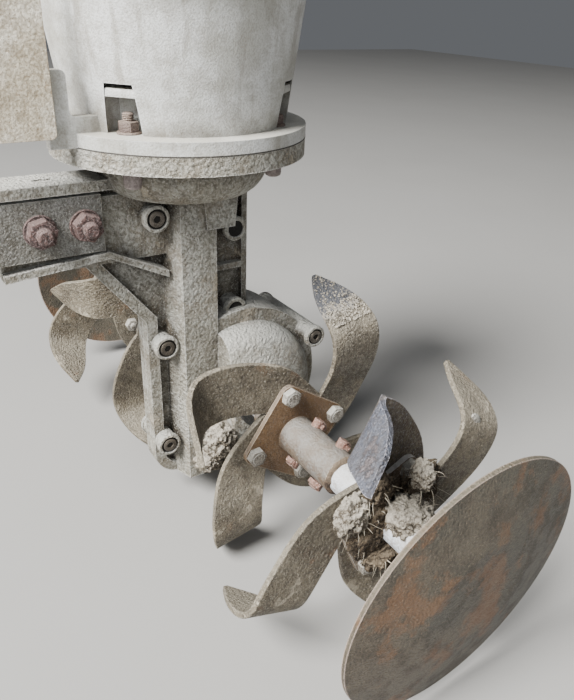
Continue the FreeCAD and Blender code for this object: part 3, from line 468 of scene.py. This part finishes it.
def socket_head(radius, flats):
    """Head of a socket screw, its hexagon sunk by an inset and a push inwards."""
    shape = upright_bar(radius, 0, SCREW_HEIGHT, 36)
    softened(shape, [e for e in shape.edges if all(v.co.z > SCREW_HEIGHT * 0.9 for v in e.verts)], 0.0006)
    top = max(shape.faces, key=lambda f: f.calc_center_median().z + f.calc_area())
    bmesh.ops.inset_individual(shape, faces=[top], thickness=radius * 0.45, depth=0)
    for corner in top.verts:
        bearing = math.atan2(corner.co.y, corner.co.x)
        off_middle = (bearing % (math.pi / 3)) - math.pi / 6
        out = flats / 2 / math.cos(off_middle)
        corner.co.x, corner.co.y = math.cos(bearing) * out, math.sin(bearing) * out
    bmesh.ops.inset_individual(shape, faces=[top], thickness=0.0001, depth=-SCREW_HEIGHT * 0.6)
    return shape


for name, along, up, end, boss, seat, head, flats in CASE_SCREWS:
    for side, way in SIDES:
        label, outward = "_%s_%s" % (name, side), (way, 0, 0)
        place, turn = (way * end, AXLE_ALONG + along, AXLE_UP + up), along * 40
        fitted(stood(boss_rim(boss, seat), place, outward), "screw_boss" + label,
               "gear_unit", case_paint)
        # A dark disc on the floor of each seat: painted shade.
        fitted(stood(dark_floor(seat), place, outward), "screw_seat" + label,
               "gear_unit", painted_hole_shade)
        if head:
            fitted(stood(socket_head(head, flats), place, outward, turn), "case_screw" + label,
                   "gear_unit", screw_steel)
            # A dark hexagon at the bottom of each socket: painted shade.
            dirt_and_shade = hexagon(flats - 0.0004, 0.0004, 0.0008, 0.0001)
            fitted(stood(dirt_and_shade, place, outward, turn), "socket_shade" + label,
                   "gear_unit", painted_hole_shade)

# Handlebar side plates: flat steel sheet fastened outside the bell's two arms, cream paint that
# has gone blotchy and brown. Their holes stay open for the handlebar's bolts.

plate_paint = finish(
    "plate_paint", main=(0.84, 0.79, 0.67), second=(0.60, 0.53, 0.40), pits=(0.22, 0.16, 0.09),
    corners=(0.11, 0.08, 0.05), tops=(0.62, 0.58, 0.48), bare=(0.22, 0.14, 0.09),
    specks=(0.25, 0.17, 0.10), rough=0.55, grains=430.0, depth=0.0004, wide=20.0, narrow=110.0,
    fine=0.5, wear=0.001, pit_share=0.45, speck_share=0.6, reach=0.012,
    rust=((0.42, 0.26, 0.13), (0.20, 0.12, 0.06)), rust_from=0.61)
painted(plate_paint, "handlebar_cheek_right", "handlebar_cheek_left")

# Drawbar plates: two flat steel bars, greenish-grey with dust, held on the tail of the case by
# two bolts through both. Nuts and bolt ends are thick with rust.

drawbar_paint = finish(
    "drawbar_paint", main=(0.215, 0.215, 0.20), second=(0.14, 0.13, 0.105), pits=(0.055, 0.045, 0.03),
    corners=(0.04, 0.03, 0.02), tops=(0.48, 0.49, 0.48), bare=(0.44, 0.42, 0.36),
    specks=(0.46, 0.46, 0.44), rough=0.5, grains=480.0, depth=0.0014, fine=0.5, wear=0.001,
    pit_share=0.6, speck_share=0.5, rust=((0.14, 0.08, 0.06), (0.085, 0.05, 0.04)), rust_from=0.59)
flaky_rust = finish(
    "flaky_rust", main=(0.135, 0.072, 0.062), second=(0.075, 0.042, 0.042), pits=(0.028, 0.016, 0.015),
    corners=(0.03, 0.018, 0.014), tops=(0.27, 0.195, 0.18), bare=(0.50, 0.38, 0.35),
    specks=(0.42, 0.33, 0.32), grains=460.0, depth=0.0022, wear=0.0010, wear_share=0.5,
    top_share=0.45, pit_share=0.8, speck_share=0.5, reach=0.006)
painted(drawbar_paint, "drawbar_plate_right", "drawbar_plate_left")

PLATE_FACE = 0.019
DRAWBAR_FLATS, DRAWBAR_NUT_HEIGHT, DRAWBAR_HEAD_HEIGHT, DRAWBAR_CHAMFER = 0.0215, 0.0100, 0.0085, 0.0012
DRAWBAR_WASHER_THICK = 0.0020
DRAWBAR_BOLTS = [  # name, along, up, turn
    ("front", -0.097, -0.219, 0.2),
    ("rear", -0.134, -0.219, 0.75),
]
for name, along, up, turn in DRAWBAR_BOLTS:
    nut = washer(0.005, 0.0137, 0.0008, DRAWBAR_WASHER_THICK, 36)
    join(nut, hexagon(DRAWBAR_FLATS, DRAWBAR_NUT_HEIGHT, DRAWBAR_WASHER_THICK, DRAWBAR_CHAMFER))
    join(nut, bolt_end(0.004, 0.0066, 0.0115, 0.0075, 0.0016, 28))
    fitted(stood(nut, (PLATE_FACE, along, up), (1, 0, 0), turn), "drawbar_nut_" + name,
           "gear_unit", flaky_rust)
    head = hexagon(DRAWBAR_FLATS, DRAWBAR_HEAD_HEIGHT, 0.0, DRAWBAR_CHAMFER)
    fitted(stood(head, (-PLATE_FACE, along, up), (-1, 0, 0), turn), "drawbar_bolt_" + name,
           "gear_unit", flaky_rust)

# Shaft seals and clutch drum: black rubber rings round the shaft, and a turned steel drum that
# stands in the bell.

seal_rubber = finish(
    "seal_rubber", main=(0.03, 0.03, 0.03), second=(0.05, 0.045, 0.04), pits=(0.02, 0.02, 0.02),
    corners=(0.10, 0.08, 0.06), tops=(0.16, 0.14, 0.10), bare=(0.08, 0.07, 0.06), rough=0.75)
drum_steel = finish(
    "drum_steel", main=(0.30, 0.29, 0.28), second=(0.20, 0.19, 0.18), pits=(0.10, 0.07, 0.05),
    corners=(0.06, 0.05, 0.04), tops=(0.25, 0.22, 0.18), bare=(0.55, 0.54, 0.52),
    rough=0.35, grains=900.0, depth=0.0001, metal=0.85, top_share=0.3)
painted(seal_rubber, "shaft_seal_right", "shaft_seal_left")
painted(drum_steel, "clutch_drum")

# Rotor hubs: tube, square plate and shaft of mild steel, orange-brown with rust under dust, the
# tubes rubbed to a dusty beige. Each plate's hex bolts hold four tines; cross pins hold the tubes.


def between_planes():
    """1 on what lies between two distances out along the axle, on either side."""
    tree, given, put = effect("between_planes", ["Place", "Low", "High"], ["Between"])
    across = sums(tree, "ABSOLUTE", wired(tree, "ShaderNodeSeparateXYZ", {0: given["Place"]}).outputs[0])
    above = sums(tree, "GREATER_THAN", across, given["Low"])
    below = sums(tree, "LESS_THAN", across, given["High"])
    tree.links.new(sums(tree, "MULTIPLY", above, below), put["Between"])
    return tree


BETWEEN = between_planes()
hub_steel = finish(
    "hub_steel", main=(0.155, 0.145, 0.132), second=(0.11, 0.078, 0.048), pits=(0.085, 0.048, 0.022),
    corners=(0.035, 0.02, 0.012), tops=(0.27, 0.26, 0.235), bare=(0.56, 0.46, 0.34),
    rough=0.5, depth=0.0012, wide=30.0, wear=0.0014, top_share=0.35, speck_share=0.3,
    zone=(0.1250, 0.1312, (0.125, 0.064, 0.024), (0.19, 0.112, 0.05)))
tube_steel = finish(
    "tube_steel", main=(0.60, 0.64, 0.70), second=(0.44, 0.44, 0.44), pits=(0.24, 0.19, 0.14),
    corners=(0.07, 0.045, 0.03), tops=(0.58, 0.58, 0.57), bare=(0.64, 0.63, 0.60),
    rough=0.45, grains=500.0, depth=0.0010, wide=26.0, broad=0.6, speck_share=0.3,
    zone=(0.2565, 0.2632, (0.10, 0.062, 0.032), (0.17, 0.125, 0.08)))
bolt_steel = finish(
    "bolt_steel", main=(0.36, 0.34, 0.30), second=(0.20, 0.175, 0.14), pits=(0.07, 0.055, 0.04),
    corners=(0.05, 0.035, 0.025), tops=(0.42, 0.41, 0.37), bare=(0.60, 0.59, 0.55),
    rough=0.5, grains=560.0, depth=0.0012, wear=0.0009, pit_share=0.8, speck_share=0.6, reach=0.006)
pin_steel = finish(
    "pin_steel", main=(0.33, 0.17, 0.125), second=(0.17, 0.075, 0.05), pits=(0.05, 0.022, 0.014),
    corners=(0.03, 0.014, 0.01), tops=(0.46, 0.31, 0.25), bare=(0.78, 0.62, 0.55),
    specks=(0.70, 0.56, 0.50), rough=0.4, grains=520.0, depth=0.0016, wear=0.0011, metal=0.2,
    bare_metal=0.3, top_share=0.4, speck_share=0.4, reach=0.006)
groove_dirt = finish(
    "groove_dirt", main=(0.10, 0.06, 0.035), second=(0.055, 0.035, 0.022), pits=(0.02, 0.014, 0.01),
    corners=(0.02, 0.014, 0.01), tops=(0.22, 0.17, 0.12), bare=(0.24, 0.18, 0.13),
    rough=0.9, depth=0.002, speck_share=0.3)
painted(hub_steel, "inner_hub_right", "inner_hub_left")
painted(tube_steel, "outer_hub_right", "outer_hub_left", "rotor_shaft")
painted(pin_steel, "inner_pin_right", "inner_pin_left", "outer_pin_right", "outer_pin_left")

PINS = (("inner", 0.148), ("outer", 0.185))  # name, place across
PIN_NUT_FLATS, PIN_NUT_HEIGHT, PIN_NUT_FOOT, TUBE_SKIN = 0.0125, 0.0046, 0.0008, 0.0130
for name, across in PINS:
    for side, way in SIDES:
        for end, towards in (("top", 1), ("foot", -1)):
            nut = join(hexagon(PIN_NUT_FLATS, PIN_NUT_HEIGHT, PIN_NUT_FOOT, 0.0012),
                       bolt_end(0.003, 0.0050, 0.0052, 0.0026, 0.001))
            place = (way * across, AXLE_ALONG + towards * TUBE_SKIN, AXLE_UP + towards * TUBE_SKIN)
            fitted(stood(nut, place, (0, towards, towards), across * 9),
                   "pin_nut_%s_%s_%s" % (name, side, end), "rotor", pin_steel)

INNER_TUBE_END, DIRT_INNER = 0.203, 0.0152
DIRT_PROFILE = [(DIRT_INNER, -0.001), (0.0188, -0.001), (0.0190, 0.0005), (0.0176, 0.0022),
                (DIRT_INNER, 0.0034), (DIRT_INNER, -0.001)]
for side, way in SIDES:
    ring = turned_shape(DIRT_PROFILE, 72)
    for vert in ring.verts:
        away = Vector((vert.co.x, vert.co.y, 0)).normalized()
        vert.co += away * noise.noise(vert.co * 190.0) * 0.0009
        vert.co.z += max(noise.noise(vert.co * 120.0), 0) * 0.003
    fitted(stood(ring, (way * INNER_TUBE_END, AXLE_ALONG, AXLE_UP), (way, 0, 0)), "tube_end_dirt_" + side,
           "rotor", groove_dirt, crease=60)

HUB_STARS = {"inner": (0.1255, 10.9), "outer": (0.2575, -21.5)}  # back of the plate, first bolt's angle
HUB_PLATE_THICK, TINE_THICK, HUB_BOLT_RADIUS = 0.0045, 0.0050, 0.0458
HUB_BOLT_FLATS, HUB_HEAD_HEIGHT, HUB_NUT_HEIGHT, HUB_CHAMFER = 0.0160, 0.0068, 0.0080, 0.0011
HEAD_CROWN = [(0, 0.005), (0.0060, 0.005), (0.0060, 0.0072), (0, 0.0074)]
for star, (plate_back, first) in HUB_STARS.items():
    for number in range(4):
        angle = math.radians(first + 90 * number)
        along = AXLE_ALONG + HUB_BOLT_RADIUS * math.cos(angle)
        up = AXLE_UP + HUB_BOLT_RADIUS * math.sin(angle)
        for side, way in SIDES:
            label = "%s_%s_%d" % (star, side, number + 1)
            head = hexagon(HUB_BOLT_FLATS, HUB_HEAD_HEIGHT, 0.0, HUB_CHAMFER)
            join(head, turned_shape(HEAD_CROWN, 24))
            place = (way * (plate_back + HUB_PLATE_THICK), along, up)
            fitted(stood(head, place, (way, 0, 0), number * 0.7 + 0.2),
                   "hub_bolt_" + label, "rotor", bolt_steel)
            nut = join(hexagon(HUB_BOLT_FLATS, HUB_NUT_HEIGHT, 0.0, HUB_CHAMFER),
                       bolt_end(0.004, 0.0046, 0.0075, 0.0035))
            place = (way * (plate_back - TINE_THICK), along, up)
            fitted(stood(nut, place, (-way, 0, 0), number * 0.5),
                   "hub_nut_" + label, "rotor", bolt_steel)

# Tines: forged spring-steel blades bent aside at the tip, grey-beige with dried soil, their thin
# edges worn bright by the ground. One is caked with mud at its end; one is scoured bright, its
# blue-grey a painted reflection of the sky.


def caked_end():
    """Soil caked round one place of a piece, out to a ragged line, and the band along that line."""
    tree, given, put = effect("caked_end", ["Place", "Centre", "Reach"], ["Caked", "Band"])
    away = vectors(tree, "DISTANCE", given["Place"], given["Centre"])["Value"]
    near = sums(tree, "SUBTRACT", 1.0, sums(tree, "DIVIDE", away, given["Reach"]))
    ragged = sums(tree, "MULTIPLY_ADD", cloudy(tree, given["Place"], 120.0, rough=0.65), 0.5, near)
    tree.links.new(stepped(tree, ragged, low=0.25, high=0.31), put["Caked"])
    tree.links.new(sums(tree, "SUBTRACT", 1.0, stepped(tree, ragged, low=0.36, high=0.62)), put["Band"])
    return tree


CAKED = caked_end()
DUSTY = dict(pits=(0.042, 0.03, 0.018), corners=(0.05, 0.035, 0.022), tops=(0.34, 0.31, 0.25),
             grains=400.0, depth=0.0026, wide=22.0, wear=0.0013, wear_share=0.95, top_share=0.35,
             pit_share=0.6, speck_share=0.5)
EARTHY = dict(bare=(0.80, 0.77, 0.69), rough=0.5, specks=(0.45, 0.41, 0.33),
              soil=((0.38, 0.33, 0.25), (0.26, 0.22, 0.155)), **DUSTY)
tine_steel = finish(
    "tine_steel", main=(0.165, 0.142, 0.10), second=(0.10, 0.078, 0.048), soil_from=0.57,
    rust=((0.17, 0.08, 0.03), (0.11, 0.06, 0.028)), rust_from=0.60, **EARTHY)
caked_tine = finish(
    "caked_tine", main=(0.165, 0.145, 0.11), second=(0.11, 0.09, 0.06), soil_from=0.60,
    caked=((0.064, 0.100, -0.286), 0.062, (0.085, 0.088, 0.098), (0.34, 0.31, 0.26)), **EARTHY)
# Scoured tine: its blue-grey tones, bluest on what faces up, are painted sky reflection on bright worn
# steel; near the plate it is brown.
scoured_tine_sky_sheen = finish(
    "scoured_tine_sky_sheen", main=(0.068, 0.080, 0.115), second=(0.135, 0.142, 0.18), bare=(0.86, 0.80, 0.85),
    rough=0.36, metal=0.2, specks=(0.34, 0.34, 0.37), soil=((0.12, 0.085, 0.07), (0.10, 0.09, 0.085)),
    soil_from=0.60, zone=(0.0, 0.2640, (0.105, 0.078, 0.045), (0.15, 0.115, 0.07)),
    **dict(DUSTY, tops=(0.20, 0.21, 0.25)))
TINE_FINISHES = {("inner", 1): caked_tine, ("outer", 2): scoured_tine_sky_sheen}

TINE_STATIONS = [  # inner out, inner ahead, outer out, outer ahead, share of the bend; millimetres
    (8.0, -25.0, 27.0, -35.5, 0.0),
    (24.0, 0.0, 68.0, -13.0, 0.0),
    (35.0, 24.0, 86.0, 12.0, 0.0),
    (45.0, 43.0, 98.0, 36.0, 0.0),
    (51.0, 60.0, 104.5, 56.0, 0.0),
    (53.0, 74.0, 106.0, 72.0, 0.0),
    (54.0, 84.0, 105.5, 83.0, 0.03),
    (55.0, 92.0, 104.0, 91.0, 0.12),
    (56.0, 98.0, 102.0, 98.0, 0.25),
    (58.0, 104.0, 99.0, 104.0, 0.42),
    (63.0, 111.0, 93.0, 110.0, 0.68),
    (76.0, 118.0, 80.0, 118.0, 1.0),
]
LEAF_END = [  # the scoured tine ends in a narrower leaf
    (54.0, 82.5, 104.0, 74.5, 0.03),
    (54.5, 89.5, 102.5, 80.0, 0.12),
    (56.5, 100.0, 100.5, 83.0, 0.25),
    (58.0, 110.0, 96.5, 87.5, 0.42),
    (59.5, 118.0, 92.5, 100.0, 0.62),
    (58.5, 122.0, 85.0, 111.0, 0.78),
    (56.5, 120.5, 59.0, 120.5, 0.86),
]
LEAF_STATIONS = TINE_STATIONS[:6] + LEAF_END
TINES = [  # star, number, side of the bend, its reach, how far set out, length beyond the plate
    ("inner", 1, -1, 61.0, 9.0, 1.0),
    ("inner", 2, 1, 70.0, 0.0, 1.0),
    ("inner", 3, -1, 61.0, 9.0, 1.0),
    ("inner", 4, 1, 70.0, 0.0, 1.0),
    ("outer", 1, -1, 60.0, 4.0, 1.0),
    ("outer", 2, 1, 60.0, 6.0, 0.8),
    ("outer", 3, -1, 65.0, 7.0, 0.97),
    ("outer", 4, 1, 60.0, 6.0, 0.9),
]
MILLIMETRE = 0.001
TINE_FREE_START, TINE_SET_RUN = 24.0, 20.0
BLADE_CREASE, RIM_ROUND = 40, 0.0007


def tine_sections(stations, star, side, reach, set_out, length):
    """Four corners of the blade at each station, in millimetres, its bolt straight along Y."""
    half_thick = TINE_THICK / MILLIMETRE / 2
    middles = []
    for inner_out, inner_ahead, outer_out, outer_ahead, bent in stations:
        inner_on, outer_on = [min(on, TINE_FREE_START) + max(on - TINE_FREE_START, 0) * length
                              for on in (inner_ahead, outer_ahead)]
        set_share = min(max(((inner_on + outer_on) / 2 - TINE_FREE_START) / TINE_SET_RUN, 0), 1)
        aside = HUB_STARS[star][0] / MILLIMETRE - half_thick + side * reach * bent + set_out * set_share
        middles.append((Vector((aside, inner_out, inner_on)), Vector((aside, outer_out, outer_on))))
    sections = []
    for number, (inner, outer) in enumerate(middles):
        before, after = middles[max(number - 1, 0)], middles[min(number + 1, len(middles) - 1)]
        along = (after[0] + after[1]) - (before[0] + before[1])
        half = along.cross(inner - outer).normalized() * half_thick
        sections.append([inner + half, outer + half, outer - half, inner - half])
    return sections


def drawn_through(sections):
    """A closed bar whose four-cornered rim is extruded from section to section."""
    shape = bmesh.new()
    crease = shape.edges.layers.float.new("crease_edge")
    rim = [shape.verts.new(corner) for corner in sections[0]]
    edges = [shape.edges.new((rim[i], rim[(i + 1) % 4])) for i in range(4)]
    for before, corners in zip(sections, sections[1:]):
        drawn = bmesh.ops.extrude_edge_only(shape, edges=edges)["geom"]
        fresh = {part for part in drawn if isinstance(part, bmesh.types.BMVert)}
        edges = [part for part in drawn
                 if isinstance(part, bmesh.types.BMEdge) and set(part.verts) <= fresh]
        for vert in fresh:
            nearest = min(range(4), key=lambda i: (vert.co - before[i]).length)
            vert.co = corners[nearest]
    bmesh.ops.holes_fill(shape, edges=shape.edges, sides=4)
    bmesh.ops.recalc_face_normals(shape, faces=shape.faces)
    for edge in shape.edges:
        if edge.calc_face_angle(0) > math.radians(BLADE_CREASE):
            edge[crease] = 1.0
    return shape


def on_star(star, number):
    """From a tine's own place to its bolt's, turned about the axle."""
    angle = math.radians(HUB_STARS[star][1] + 90 * (number - 1))
    return Matrix.Translation((0, AXLE_ALONG, AXLE_UP)) @ Matrix.Rotation(angle, 4, "X")


for star, number, *bend in TINES:
    stations = LEAF_STATIONS if (star, number) == ("outer", 2) else TINE_STATIONS
    for side, way in SIDES:
        blade = drawn_through(tine_sections(stations, star, *bend))
        bmesh.ops.transform(blade, verts=blade.verts,
                            matrix=on_star(star, number) @ Matrix.Scale(MILLIMETRE, 4))
        if way < 0:
            bmesh.ops.scale(blade, verts=blade.verts, vec=(-1, 1, 1))
            bmesh.ops.reverse_faces(blade, faces=blade.faces)
        tine = fitted(blade, "blade_%s_%s_%d" % (star, side, number), "rotor",
                      TINE_FINISHES.get((star, number), tine_steel), crease=BLADE_CREASE)
        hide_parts("%s_tine_%s_%d" % (star, side, number))
        smooth = tine.modifiers.new("forged_curve", "SUBSURF")
        smooth.levels = smooth.render_levels = 2
        rounded = tine.modifiers.new("worn_rim", "BEVEL")
        rounded.width = RIM_ROUND
        rounded.segments = 2
        rounded.limit_method = "ANGLE"
        rounded.angle_limit = math.radians(BLADE_CREASE)

RIVET_ACROSS, RIVET_ALONG, RIVET_UP = 0.2550, 0.1487, -0.3628
RIVET_PROFILE = [(0, -0.001), (0.0066, -0.001), (0.0066, 0.0004), (0.0052, 0.0018), (0.0028, 0.0026),
                 (0, 0.0028)]
for side, way in SIDES:
    dome = turned_shape(RIVET_PROFILE, 28)
    bmesh.ops.scale(dome, verts=dome.verts, vec=(1.0, 1.7, 1.0))
    place = (way * RIVET_ACROSS, RIVET_ALONG, RIVET_UP)
    fitted(stood(dome, place, (way, 0, 0), 0.5), "tine_rivet_" + side, "rotor", bolt_steel)

# End discs: pressed steel, once painted green-brown, scoured by soil and plants until rust and
# bare patches show through.

disc_paint = finish(
    "disc_paint", main=(0.056, 0.052, 0.037), second=(0.088, 0.066, 0.041), pits=(0.026, 0.019, 0.012),
    corners=(0.04, 0.028, 0.018), tops=(0.15, 0.13, 0.095), bare=(0.56, 0.44, 0.38),
    specks=(0.22, 0.175, 0.125), rough=0.50, grains=480.0, depth=0.0014, wide=8.0, narrow=45.0,
    runs=0.3, wear=0.0018, pit_share=0.55, speck_share=0.45,
    rust=((0.135, 0.066, 0.028), (0.095, 0.052, 0.025)), rust_from=0.50)
painted(disc_paint, "end_disc_right", "end_disc_left")

# Soil: crumbly clods dried on between the outer plates and the discs and low on the case, with a
# dark mass of roots and straw in the right outer star, and crumbs on the end of the caked tine.

dry_soil = finish(
    "dry_soil", main=(0.43, 0.38, 0.30), second=(0.25, 0.205, 0.145), pits=(0.06, 0.042, 0.026),
    corners=(0.035, 0.024, 0.014), tops=(0.62, 0.57, 0.48), bare=(0.60, 0.55, 0.46),
    rough=0.9, grains=430.0, depth=0.0035, wide=60.0, fine=0.6, wear=0.002, wear_share=0.3,
    pit_share=0.85, speck_share=0.6, reach=0.008)
root_mass = finish(
    "root_mass", main=(0.105, 0.07, 0.038), second=(0.19, 0.14, 0.085), pits=(0.025, 0.016, 0.009),
    corners=(0.018, 0.012, 0.007), tops=(0.24, 0.19, 0.13), bare=(0.34, 0.27, 0.19),
    specks=(0.42, 0.34, 0.24), rough=0.9, grains=520.0, depth=0.0035, wide=60.0, narrow=220.0,
    fine=0.6, wear=0.002, wear_share=0.3, pit_share=0.8, speck_share=0.4, reach=0.008)
root_straw = finish(
    "root_straw", main=(0.52, 0.46, 0.34), second=(0.34, 0.28, 0.19), pits=(0.16, 0.12, 0.08),
    corners=(0.12, 0.09, 0.06), tops=(0.62, 0.57, 0.46), bare=(0.60, 0.54, 0.43), rough=0.8)

ROOT_MASS = [  # across, along, up, half sizes across, along, up
    (0.266, 0.030, -0.414, 0.011, 0.026, 0.030),
    (0.268, 0.075, -0.390, 0.009, 0.022, 0.024),
    (0.270, 0.044, -0.446, 0.012, 0.024, 0.014),
    (0.268, 0.030, -0.375, 0.008, 0.016, 0.014),
]
OUTER_CLOD = [
    (0.267, 0.007, -0.392, 0.010, 0.016, 0.021),
    (0.284, 0.050, -0.400, 0.020, 0.019, 0.019),
    (0.284, 0.058, -0.362, 0.010, 0.010, 0.014),
    (0.303, 0.056, -0.404, 0.018, 0.014, 0.014),
]
CASE_CLOD = [
    (0.060, 0.004, -0.453, 0.013, 0.019, 0.021),
    (0.055, -0.006, -0.474, 0.014, 0.016, 0.013),
    (0.058, 0.016, -0.472, 0.012, 0.014, 0.015),
]
noise.seed_set(5)
ROUGH_SHARE, CELL_SHARE = 0.24, 0.13
CLOD_CRUMB, CLOD_GRAIN = 0.0012, 0.00048


def clod(name, body, material, lumps, seed, way=1, cuts=5):
    """Crumbly lump of soil made of rough balls that run into each other."""
    whole = bmesh.new()
    for number, (across, along, up, *half_sizes) in enumerate(lumps):
        ball = bmesh.new()
        bmesh.ops.create_icosphere(ball, subdivisions=cuts, radius=1.0)
        for vert in ball.verts:
            spot = vert.co.normalized()
            start = spot * 2.2 + Vector((seed + number * 3.7, seed * 0.5, number))
            rough = noise.fractal(start, 0.8, 2.1, 6) * ROUGH_SHARE
            cells = noise.voronoi(spot * 11.0 + Vector((seed, number, 0)))[0][0] * CELL_SHARE
            vert.co = spot * (1.0 + rough - cells)
        bmesh.ops.scale(ball, vec=half_sizes, verts=ball.verts)
        bmesh.ops.translate(ball, vec=(way * across, along, up), verts=ball.verts)
        join(whole, ball)
    for vert in whole.verts:
        crumbs = noise.noise_vector(vert.co * 450.0) * CLOD_CRUMB
        vert.co += crumbs + noise.noise_vector(vert.co * 1100.0) * CLOD_GRAIN
    return fitted(whole, name, body, material, crease=180)


clod("root_mass_right", "rotor", root_mass, ROOT_MASS, 2.0)
clod("soil_outer_right", "rotor", dry_soil, OUTER_CLOD, 4.0)
clod("soil_outer_left", "rotor", dry_soil, OUTER_CLOD[:2], 6.0, way=-1, cuts=4)
clod("soil_case_right", "gear_unit", dry_soil, CASE_CLOD, 9.0)
clod("soil_case_left", "gear_unit", dry_soil, CASE_CLOD, 3.0, way=-1, cuts=4)

chance = random.Random(11)
ROOT_COUNT, ROOT_STEPS = 80, 6
ROOTED_LUMPS = ROOT_MASS + OUTER_CLOD[:3]
STRAND_CORNERS = [Vector(corner) for corner in ((0, 1, 1), (0, 1, -1), (0, -1, -1), (0, -1, 1))]
strands = bmesh.new()
for number in range(ROOT_COUNT):
    across, along, up, *half_sizes = ROOTED_LUMPS[number % len(ROOTED_LUMPS)]
    aim = Vector((chance.uniform(-0.2, 1.0), chance.uniform(-1, 1), chance.uniform(-1, 1))).normalized()
    start = Vector((across, along, up)) + aim * Vector(half_sizes) * 0.85
    run = chance.uniform(0.005, 0.014)
    sag = Vector((0, chance.uniform(-1, 1), -1.0)) * run * 0.5
    width = chance.uniform(0.00012, 0.00032)
    sections = []
    for step in range(ROOT_STEPS + 1):
        share = step / ROOT_STEPS
        middle = start + aim * run * share + sag * share * share
        middle += noise.noise_vector(middle * 160.0) * 0.0010 * share
        sections.append([middle + corner * width * (1.0 - 0.6 * share) for corner in STRAND_CORNERS])
    join(strands, drawn_through(sections))
fitted(strands, "soil_roots_right", "rotor", root_straw, crease=180)

CRUMB_COUNT, FIRST_STATION, STATION_RUN = 330, 6.9, 4.0
caked_blade = tine_sections(TINE_STATIONS, "inner", *TINES[0][2:])
crumbs = bmesh.new()
for number in range(CRUMB_COUNT):
    station, share = divmod(FIRST_STATION + STATION_RUN * chance.random() ** 2.2, 1.0)
    here, beyond = caked_blade[int(station)], caked_blade[int(station) + 1]
    inner, outer = here[0].lerp(beyond[0], share), here[1].lerp(beyond[1], share)
    place = Matrix.Translation(inner.lerp(outer, chance.uniform(0.06, 0.94)) * MILLIMETRE)
    size = chance.uniform(0.0005, 0.0014)
    crumb = bmesh.ops.create_icosphere(crumbs, subdivisions=1, radius=size,
                                       matrix=on_star("inner", 1) @ place)
    for vert in crumb["verts"]:
        vert.co += noise.noise_vector(vert.co * 900.0) * size * 0.6
fitted(crumbs, "tine_crumbs_right", "rotor", dry_soil, crease=60)

# Floor, light and camera: a plain pale floor under the lowest tine tips, two large soft lamps and
# an even sky, seen from the photograph's viewing angle.

FLOOR_HEIGHT, FLOOR_HALF = cad_box[0][2], 6.0
ground = bmesh.new()
bmesh.ops.create_grid(ground, x_segments=1, y_segments=1, size=FLOOR_HALF)
bmesh.ops.translate(ground, verts=ground.verts, vec=(0, 0, FLOOR_HEIGHT))
floor_mesh = bpy.data.meshes.new("studio_floor")
ground.to_mesh(floor_mesh)
ground.free()
studio_floor = bpy.data.objects.new("studio_floor", floor_mesh)
bpy.context.scene.collection.objects.link(studio_floor)
floor_paint = bpy.data.materials.new("floor_paint")
floor_paint.use_nodes = True
floor_tree = floor_paint.node_tree
floor_shader = floor_tree.nodes["Principled BSDF"]
floor_place = wired(floor_tree, "ShaderNodeTexCoord").outputs["Object"]
floor_cloud = cloudy(floor_tree, floor_place, 3.0)
floor_tone = coated(floor_tree, floor_cloud, (0.27, 0.265, 0.255), (0.30, 0.295, 0.285))
floor_tree.links.new(floor_tone, floor_shader.inputs["Base Color"])
floor_shader.inputs["Roughness"].default_value = 0.85
floor_mesh.materials.append(floor_paint)

CAMERA_TURN, CAMERA_TILT, CAMERA_ROLL = 0.9630964, 0.4960722, 0.0439209
CAMERA_PLACE = Vector((0.5442, -0.2533, -0.0466))
FOCAL_PIXELS, PICTURE_HEIGHT, SENSOR = 650.0, 700.0, 36.0
back = Vector((math.sin(CAMERA_TURN) * math.cos(CAMERA_TILT),
               -math.cos(CAMERA_TURN) * math.cos(CAMERA_TILT), math.sin(CAMERA_TILT)))
level = Vector((math.cos(CAMERA_TURN), math.sin(CAMERA_TURN), 0))
upright = back.cross(level)
right = math.cos(CAMERA_ROLL) * level + math.sin(CAMERA_ROLL) * upright
upward = math.cos(CAMERA_ROLL) * upright - math.sin(CAMERA_ROLL) * level
lens = bpy.data.cameras.new("camera")
lens.lens = FOCAL_PIXELS * SENSOR / PICTURE_HEIGHT
lens.sensor_width = SENSOR
lens.clip_start = 0.02
camera = bpy.data.objects.new("camera", lens)
camera.matrix_world = Matrix((right, upward, back)).transposed().to_4x4()
camera.matrix_world.translation = CAMERA_PLACE
bpy.context.scene.collection.objects.link(camera)
bpy.context.scene.camera = camera

LAMP_AIM, LAMP_DISTANCE = Vector((0.10, 0.0, -0.30)), 4.5
LAMPS = [  # name, towards, size, watts, colour
    ("window", Vector((0.16, -0.90, 0.95)), 2.1, 960.0, (1.0, 0.99, 0.965)),
    ("fill", Vector((0.85, -0.55, 0.45)), 3.0, 62.0, (0.93, 0.96, 1.0)),
]
for name, towards, size, watts, colour in LAMPS:
    lamp = bpy.data.lights.new(name, "AREA")
    lamp.shape = "DISK"
    lamp.size = size
    lamp.energy = watts
    lamp.color = colour
    holder = bpy.data.objects.new(name, lamp)
    holder.matrix_world = towards.to_track_quat("Z", "Y").to_matrix().to_4x4()
    holder.matrix_world.translation = LAMP_AIM + towards.normalized() * LAMP_DISTANCE
    bpy.context.scene.collection.objects.link(holder)
sky = bpy.data.worlds.new("even_sky")
sky.use_nodes = True
backdrop = sky.node_tree.nodes["Background"]
backdrop.inputs["Color"].default_value = (0.80, 0.84, 0.90, 1)
backdrop.inputs["Strength"].default_value = 0.16
bpy.context.scene.world = sky
